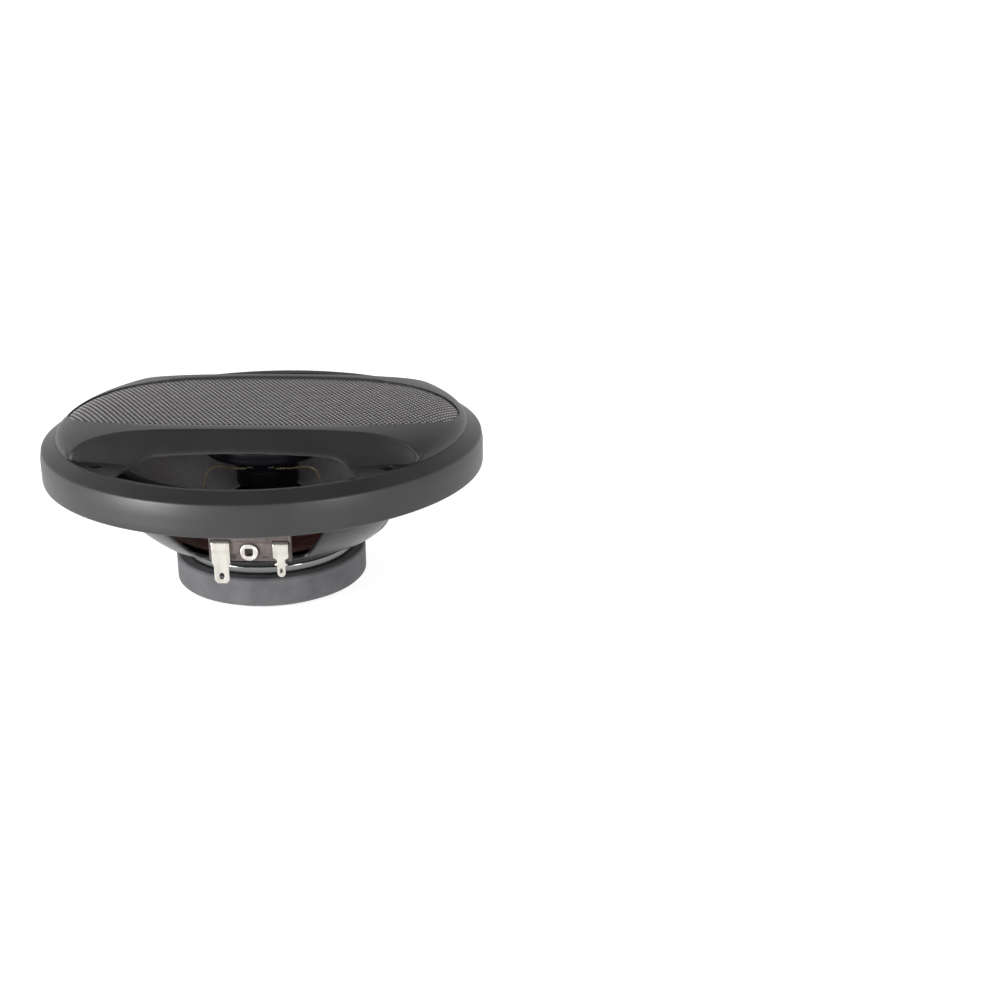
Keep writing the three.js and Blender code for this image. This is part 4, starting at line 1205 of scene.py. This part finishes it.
def domeHeight(radius):
    fall = (radius / grille["lip"]) ** grille["fullness"]
    return grille["lipHeight"] + grille["rise"] * math.sqrt(max(0.0, 1 - fall))


def bandEdge(x):
    taper = (abs(x) / grille["bandHalfLength"]) ** grille["squareness"]
    return grille["bandHalfWidth"] * math.sqrt(max(0.0, 1 - taper))


def wellColumn(x):
    # one column of the grille over the well: its top points and where it meets the lip
    lipV = math.sqrt(grille["lip"] ** 2 - x ** 2)
    limit = math.sqrt(grille["lipStart"] ** 2 - x ** 2)
    rim = bandEdge(x)
    ridge = min(curveThrough(grille["ridge"], x), limit - 0.25)
    foot = min(curveThrough(grille["foot"], x), limit - 0.1)
    ridgeHeight = domeHeight(math.hypot(x, ridge))
    floor = grille["floor"]
    half, corner = grille["slotHalf"], grille["slotCorner"]

    def slopeHeight(v):
        t = min(max((v - ridge) / max(foot - ridge, 0.05), 0), 1)
        return ridgeHeight + (floor - ridgeHeight) * t

    if x <= half:
        into = max(0.0, x - (half - corner))
        slotEdge = grille["slotRear"] + corner - math.sqrt(max(0.0, corner ** 2 - into ** 2))
        outer = math.sqrt(grille["slotFront"] ** 2 - x ** 2)
        rolled = 0.45
    else:
        slotEdge = foot + 0.35 * (limit - foot)
        outer = slotEdge + 0.5 * (limit - slotEdge)
        rolled = 0.0
    lower = min(foot, slotEdge - 1.1)
    points = []
    seam = grille["seam"]
    band = [0.0, 0.3, 2.5, seam]
    band += [seam + (ridge - 1.2 - rim - seam) * k / 6 for k in range(1, 7)]
    for k, step in enumerate(band):
        v = rim + step
        points.append((v, domeHeight(math.hypot(x, v)) - (grille["groove"] if k == 0 else 0)))
    soft = 1 - 0.62 * easedShare((x - 30) / 25)
    for shift, drop in ((-0.5, 0.03), (0, 0.16), (0.45, 0.42)):
        v, drop = min(ridge + shift * soft, limit - 0.2), drop * soft
        onDome = domeHeight(math.hypot(x, min(v, ridge)))
        fall = slopeHeight(v) if v > ridge else onDome
        points.append((v, fall - drop * min(1.0, (ridgeHeight - floor) / 4)))
    start = min(ridge + 0.45 * soft, limit - 0.2)
    for k in range(1, 6):
        v = start + (lower - start) * k / 6 if lower > start else start
        points.append((v, slopeHeight(v)))
    points.append((max(lower, start), slopeHeight(max(lower, start))))
    points.append((slotEdge, slopeHeight(slotEdge) - rolled))
    ledge = 1 - easedShare((x - 38) / 9)
    points.append((outer, floor + 0.35 * ledge))
    # up to the lip, where the ledge in front of the slot stands higher than the floor beside it
    edge = [
        (79.8, floor, 67.12), (80.5, floor + 0.08, 67.28), (80.95, floor + 0.4, 67.38),
        (grille["lipStart"], 67.33, 67.43)]
    for r, z, onLedge in edge:
        v = math.sqrt(r ** 2 - x ** 2)
        points.append((max(v, outer), z + (onLedge - z) * ledge))
    return points, lipV


def fanColumn(share, last):
    # columns beyond the well's tip, from its own line round to the side
    x0 = grille["tip"]
    rimV = bandEdge(x0) * (1 - share)
    taper = 1 - (rimV / grille["bandHalfWidth"]) ** 2
    rimX = grille["bandHalfLength"] * taper ** (1 / grille["squareness"])
    lipAngle = math.acos(x0 / grille["lip"]) * (1 - share)
    end = Vector((grille["lip"] * math.cos(lipAngle), grille["lip"] * math.sin(lipAngle)))
    start = Vector((rimX, rimV))
    width = (end - start).length
    firstV, lastV = last[0][0], math.sqrt(grille["lip"] ** 2 - x0 ** 2)
    seam = grille["seam"]
    points = []
    for k, (v, z) in enumerate(last):
        even = (v - firstV) / (lastV - firstV)
        if k < 4:
            f = min((v - firstV) / width, 0.8 * (v - firstV) / seam) if k else 0.0
        else:
            place = (k - 3) / (len(last) - 3.2)
            own = 0.8 + 0.2 * place if width < 4 else even
            blendOver = min(1.0, share * 3)
            settle = max(seam / width, 0.8 if width < 3.3 else 0.0)
            spread = settle + (1 - settle) * math.sin(place * math.pi / 2) * 0.995
            f = even * (1 - blendOver) + spread * blendOver if width > 6 else spread
            f = max(f, own if width < 4 else 0)
        at = start.lerp(end, min(f, 0.997))
        points.append((at.x, at.y, domeHeight(at.length) - (grille["groove"] if k == 0 else 0)))
    return points, end


# the skirt, from the lip down to its foot, and the same line on its underside
lipRows = [(81.6, 67.45), (81.95, 67.33), (82.6, 66.93)]
outerRows = lipRows + stepsBetween((82.6, 66.93), (86.9, 64.42), 5)
outerRows += [(87.25, 64.15), (87.45, 63.8), (87.55, 63.2), (88, 60.6)]
outerRows += [(88, 58), (88, 55), (88, 52.5), (87.9, 52.05), (87.6, 51.8)]
underRows = [(79.8, 65.2), (80.2, 65.05), (81.0, 64.7)]
underRows += stepsBetween((81.0, 64.7), (85.2, 62.5), 5)
underRows += [(85.5, 62.2), (85.7, 61.9), (85.85, 61.5), (86, 60.4)]
underRows += [(86, 58), (86, 55), (86, 52.5), (86, 52.1), (86, 51.8)]


def underPoints(top, slotted):
    # the underside of the dome, thinner at the band's seat and where the slot's edge rolls down
    under = []
    for i, (x, y, z) in enumerate(top):
        thick = 0.5 if i < 3 else grille["shell"]
        if slotted and i in (17, 18, 19):
            thick = (1.7, 1.2, 0.7)[i - 17]
        if i > 3:
            reach = min(math.hypot(x, y), 79.4) / max(math.hypot(x, y), 0.001)
            under.append((x * reach, y * reach, max(z - thick, 64.6)))
        else:
            under.append((x, y, z - thick))
    return under


def grilleColumns():
    # a quarter of the grille: each column is (top points, under points, whether the slot can open there)
    half, corner = grille["slotHalf"], grille["slotCorner"]
    places = [(half - corner) * k / 18 for k in range(19)]
    places += [half - corner + corner * math.sin(math.pi / 2 * k / 14) for k in range(1, 15)]
    places += [half + (grille["tip"] - half) * k / 20 for k in range(1, 21)]
    columns = []
    for x in places:
        well, lipV = wellColumn(x)
        top = [(x, v, z) for v, z in well]
        columns.append([top, Vector((x, lipV)), x <= half + 0.001])
    last = [(v, z) for x, v, z in columns[-1][0]]
    for k in range(1, grille["fan"] + 1):
        top, end = fanColumn(k / grille["fan"], last)
        columns.append([top, end, False])
    finished = []
    for top, lipPoint, slotted in columns:
        out = lipPoint.normalized()
        topLine = top + [(out.x * r, out.y * r, z) for r, z in outerRows]
        underLine = underPoints(top, slotted) + [(out.x * r, out.y * r, z) for r, z in underRows]
        finished.append((topLine, underLine, slotted))
    return finished


def buildGrilleFrame():
    quarter = grilleColumns()
    count = len(quarter)
    order = [(k, 1, -1) for k in range(count)] + [(k, 1, 1) for k in range(count - 2, -1, -1)]
    order += [(k, -1, 1) for k in range(1, count)] + [(k, -1, -1) for k in range(count - 2, 0, -1)]
    rows = len(quarter[0][0])

    def skin(side):
        made = []
        for i in range(rows):
            ring = [(sx, sy, quarter[k][side][i]) for k, sx, sy in order]
            made.append([(sx * x, sy * y, z) for sx, sy, (x, y, z) in ring])
        return made

    # the slot's row lies just before the ledge and the four rows of the lip's foot
    slotStart = rows - len(outerRows) - 6
    slotted = [quarter[k][2] for k, sx, sy in order]

    def kept(i, j):
        after = (j + 1) % len(order)
        return not (i == slotStart and slotted[j] and slotted[after])

    frameShell = shellOf("grilleFrame", skin(0), skin(1), kept, 34)
    floor = grille["floor"]
    cutters = []
    for x, y in screwPlaces():
        drill = turned("drill", [
            (0, floor - 6), (2.4, floor - 6), (2.4, floor - 0.5), (2.9, floor - 0.2), (3.0, floor + 4),
            (0, floor + 4)], 40)
        drill.data.transform(Matrix.Translation((x * mm, y * mm, 0)))
        cutters.append(drill)
    cutBy(frameShell, [joined("drills", cutters)])
    parts = [frameShell]
    seat = span("basket")[2] + 0.3
    for x, y in screwPlaces():
        boss = turned("boss", [
            (2.5, seat, 0.3), (4.7, seat, 0.3), (4.7, floor - 1.4), (2.5, floor - 1.4)], 40)
        boss.data.transform(Matrix.Translation((x * mm, y * mm, 0)))
        parts.append(boss)
    near, far, low, high = 82.3, 87.0, 52.8, 60.6
    ribOutline = [(near, low, 0.3), (far, low), (far, high), (near + 1.6, high, 0.4), (near, high - 2.5, 0.4)]
    for k in range(8):
        rib = plate("rib", rounded(ribOutline), -1, 1)
        rib.data.transform(Matrix.Rotation(math.radians(45 * (k + 0.5)), 4, "Z"))
        parts.append(rib)
    body = joined("grilleFrame", parts)
    sparked = body.data.attributes.new("sparked", "FLOAT", "POINT")
    inWell = []
    for v in body.data.vertices:
        x, y, z = abs(v.co.x) / mm, abs(v.co.y) / mm, v.co.z / mm
        r = math.hypot(x, y)
        ridge = curveThrough(grille["ridge"], min(x, 66.4))
        inWell.append(1.0 if x < 66 and y > ridge + 0.3 and r < 81.0 and z < domeHeight(r) - 0.1 else 0.0)
    sparked.data.foreach_set("value", inWell)
    fitted(body, "grille", "moulded_black", "grille_frame")


buildGrilleFrame()
print("grille frame made")

perforation = {
    "pitch": 2.0, "hole": 0.7, "thick": 0.5, "recess": 0.7, "crown": 0.2, "reach": 1.2, "columns": 83,
    "rows": 43,
}


def meshTree():
    # honeycomb cells laid out inside the band's outline, then draped over the dome
    lengths = [
        "Pitch", "Hole share", "Web crown", "Half length", "Half width", "Squareness", "Dome radius",
        "Dome rise", "Dome fullness", "Base height", "Thickness"]
    tree = treeFor("perforatedSheet", [(label, "NodeSocketFloat") for label in lengths] + [
        ("Columns", "NodeSocketInt"), ("Rows", "NodeSocketInt"), ("Finish", "NodeSocketMaterial")])
    given = node(tree, "NodeGroupInput").outputs
    pitch = given["Pitch"]
    rowStep = sums(tree, "MULTIPLY", pitch, math.sqrt(3) / 2)
    width = sums(tree, "MULTIPLY", pitch, sums(tree, "SUBTRACT", given["Columns"], 1.0))
    depth = sums(tree, "MULTIPLY", rowStep, sums(tree, "SUBTRACT", given["Rows"], 1.0))
    lattice = geometry(tree, "MeshGrid", {
        "Size X": width, "Size Y": depth, "Vertices X": given["Columns"], "Vertices Y": given["Rows"]})
    split = node(tree, "ShaderNodeSeparateXYZ", {0: geometry(tree, "InputPosition")})
    row = sums(tree, "ROUND", sums(tree, "DIVIDE", split.outputs["Y"], rowStep))
    odd = sums(tree, "ABSOLUTE", sums(tree, "MODULO", row, 2.0))
    shift = vector(tree, "X", sums(tree, "MULTIPLY", sums(tree, "MULTIPLY", odd, 0.5), pitch))
    staggered = geometry(tree, "SetPosition", {"Geometry": lattice, "Offset": shift})

    x = sums(tree, "ABSOLUTE", split.outputs["X"])
    along = sums(tree, "POWER", sums(tree, "DIVIDE", x, given["Half length"]), given["Squareness"])
    y = sums(tree, "DIVIDE", split.outputs["Y"], given["Half width"])
    reach = sums(tree, "ADD", along, sums(tree, "MULTIPLY", y, y))
    outside = node(tree, "FunctionNodeCompare", {0: reach, 1: 1.0}, operation="GREATER_THAN").outputs[0]
    trimmed = geometry(tree, "DeleteGeometry", {"Geometry": staggered, "Selection": outside})

    circumradius = sums(tree, "DIVIDE", pitch, math.sqrt(3))
    hexagon = geometry(tree, "MeshCircle", {"Vertices": 6, "Radius": circumradius}, fill_type="NGON")
    upright = geometry(tree, "Transform", {"Geometry": hexagon, "Rotation": (0, 0, math.pi / 6)})
    inset = node(tree, "GeometryNodeExtrudeMesh", {"Mesh": upright, "Offset Scale": 0.0})
    hole = inset.outputs["Top"]
    holed = geometry(tree, "ScaleElements", {
        "Geometry": inset.outputs["Mesh"], "Selection": hole, "Scale": given["Hole share"]})
    drop = vector(tree, "Z", sums(tree, "MULTIPLY", given["Web crown"], -1.0))
    sunk = geometry(tree, "SetPosition", {"Geometry": holed, "Selection": hole, "Offset": drop})
    cell = geometry(tree, "DeleteGeometry", {"Geometry": sunk, "Selection": hole}, domain="FACE")

    laid = geometry(tree, "InstanceOnPoints", {"Points": trimmed, "Instance": cell})
    real = geometry(tree, "RealizeInstances", {0: laid})
    welded = geometry(tree, "MergeByDistance", {"Geometry": real, "Distance": 0.02 * mm})
    across = sums(tree, "POWER", split.outputs["X"], 2.0)
    deep = sums(tree, "POWER", split.outputs["Y"], 2.0)
    domeSquared = sums(tree, "POWER", given["Dome radius"], 2.0)
    share = sums(tree, "DIVIDE", sums(tree, "ADD", across, deep), domeSquared)
    share = sums(tree, "POWER", share, sums(tree, "DIVIDE", given["Dome fullness"], 2.0))
    arch = sums(tree, "SQRT", sums(tree, "MAXIMUM", sums(tree, "SUBTRACT", 1.0, share), 0.0))
    height = sums(tree, "ADD", sums(tree, "MULTIPLY", arch, given["Dome rise"]), given["Base height"])
    lift = vector(tree, "Z", height)
    draped = geometry(tree, "SetPosition", {"Geometry": welded, "Offset": lift})
    down = vector(tree, "Z", sums(tree, "MULTIPLY", given["Thickness"], -1.0))
    thick = geometry(tree, "ExtrudeMesh", {
        "Mesh": draped, "Offset": down, "Offset Scale": 1.0, "Individual": False})
    flipped = geometry(tree, "FlipFaces", {"Mesh": draped})
    both = node(tree, "GeometryNodeJoinGeometry")
    tree.links.new(thick, both.inputs[0])
    tree.links.new(flipped, both.inputs[0])
    closed = geometry(tree, "MergeByDistance", {"Geometry": both.outputs[0], "Distance": 0.005 * mm})
    closeTree(tree, closed, given["Finish"])
    return tree


def buildMesh():
    sheet = runTree(linked("grilleMesh", bpy.data.meshes.new("grilleMesh")), meshTree(), {
        "Pitch": perforation["pitch"] * mm, "Hole share": perforation["hole"],
        "Web crown": perforation["crown"] * mm,
        "Half length": (grille["bandHalfLength"] + perforation["reach"]) * mm,
        "Half width": (grille["bandHalfWidth"] + perforation["reach"]) * mm,
        "Squareness": grille["squareness"], "Dome radius": grille["lip"] * mm,
        "Dome rise": grille["rise"] * mm, "Dome fullness": grille["fullness"],
        "Base height": (grille["lipHeight"] - perforation["recess"]) * mm,
        "Thickness": perforation["thick"] * mm, "Columns": perforation["columns"],
        "Rows": perforation["rows"], "Finish": finishes["mesh_paint"]})
    work = bmesh.new()
    work.from_mesh(sheet.data)
    bmesh.ops.recalc_face_normals(work, faces=work.faces)
    work.to_mesh(sheet.data)
    work.free()
    smoothed(sheet, 40)
    print("perforated sheet", len(sheet.data.polygons), "faces")
    fitted(sheet, "grille", "mesh_paint", "grille_mesh")


buildMesh()
print("mesh made")

# Floor, light and camera

studio = {
    "floorSize": 60.0, "floorHeight": -0.0004, "lens": 53.11, "place": (0.10552, -0.56874, 0.24283),
    "turn": (69.92, 0.0, 1.065),
}


def areaLight(name, place, size, power):
    light = bpy.data.lights.new(name, "AREA")
    light.shape = "RECTANGLE"
    light.size, light.size_y = size
    light.energy = power
    obj = bpy.data.objects.new(name, light)
    obj.location = place
    obj.rotation_euler = (Vector((0, 0, 0.05)) - Vector(place)).to_track_quat("-Z", "Y").to_euler()
    collection.objects.link(obj)


def buildStudio():
    half = studio["floorSize"] / 2
    mesh = bpy.data.meshes.new("floor")
    corners = [(-half, -half), (half, -half), (half, half), (-half, half)]
    mesh.from_pydata([(x, y, studio["floorHeight"]) for x, y in corners], [], [(0, 1, 2, 3)])
    floor = linked("floor", mesh)
    paper = bpy.data.materials.new("floorPaper")
    paper.use_nodes = True
    shader = paper.node_tree.nodes["Principled BSDF"]
    shader.inputs["Base Color"].default_value = (0.86, 0.86, 0.86, 1)
    shader.inputs["Roughness"].default_value = 0.9
    shader.inputs["Specular IOR Level"].default_value = 0.1
    shader.inputs["Emission Color"].default_value = (1, 1, 1, 1)
    shader.inputs["Emission Strength"].default_value = 0.72
    floor.data.materials.append(paper)
    world = bpy.data.worlds.new("studio")
    world.use_nodes = True
    sky = world.node_tree
    upwards = node(sky, "ShaderNodeSeparateXYZ", {0: node(sky, "ShaderNodeTexCoord").outputs["Generated"]})
    fade = node(sky, "ShaderNodeValToRGB", {"Fac": upwards.outputs["Z"]})
    fade.color_ramp.elements[0].position = 0.3
    fade.color_ramp.elements[0].color = (1, 1, 1, 1)
    fade.color_ramp.elements[1].position = 0.8
    fade.color_ramp.elements[1].color = (0.24, 0.24, 0.25, 1)
    sky.links.new(fade.outputs["Color"], sky.nodes["Background"].inputs["Color"])
    bpy.context.scene.world = world
    areaLight("left", (-0.7, -0.62, 0.12), (0.34, 0.3), 9.0)
    areaLight("right", (0.62, -0.7, 0.2), (0.14, 0.2), 2.0)
    bpy.context.scene.view_settings.view_transform = "Standard"
    lens = bpy.data.cameras.new("camera")
    lens.lens = studio["lens"]
    lens.sensor_width = 36
    lens.clip_start = 0.01
    camera = bpy.data.objects.new("camera", lens)
    camera.location = studio["place"]
    camera.rotation_euler = [math.radians(a) for a in studio["turn"]]
    collection.objects.link(camera)
    bpy.context.scene.camera = camera


buildStudio()
print("scene made")
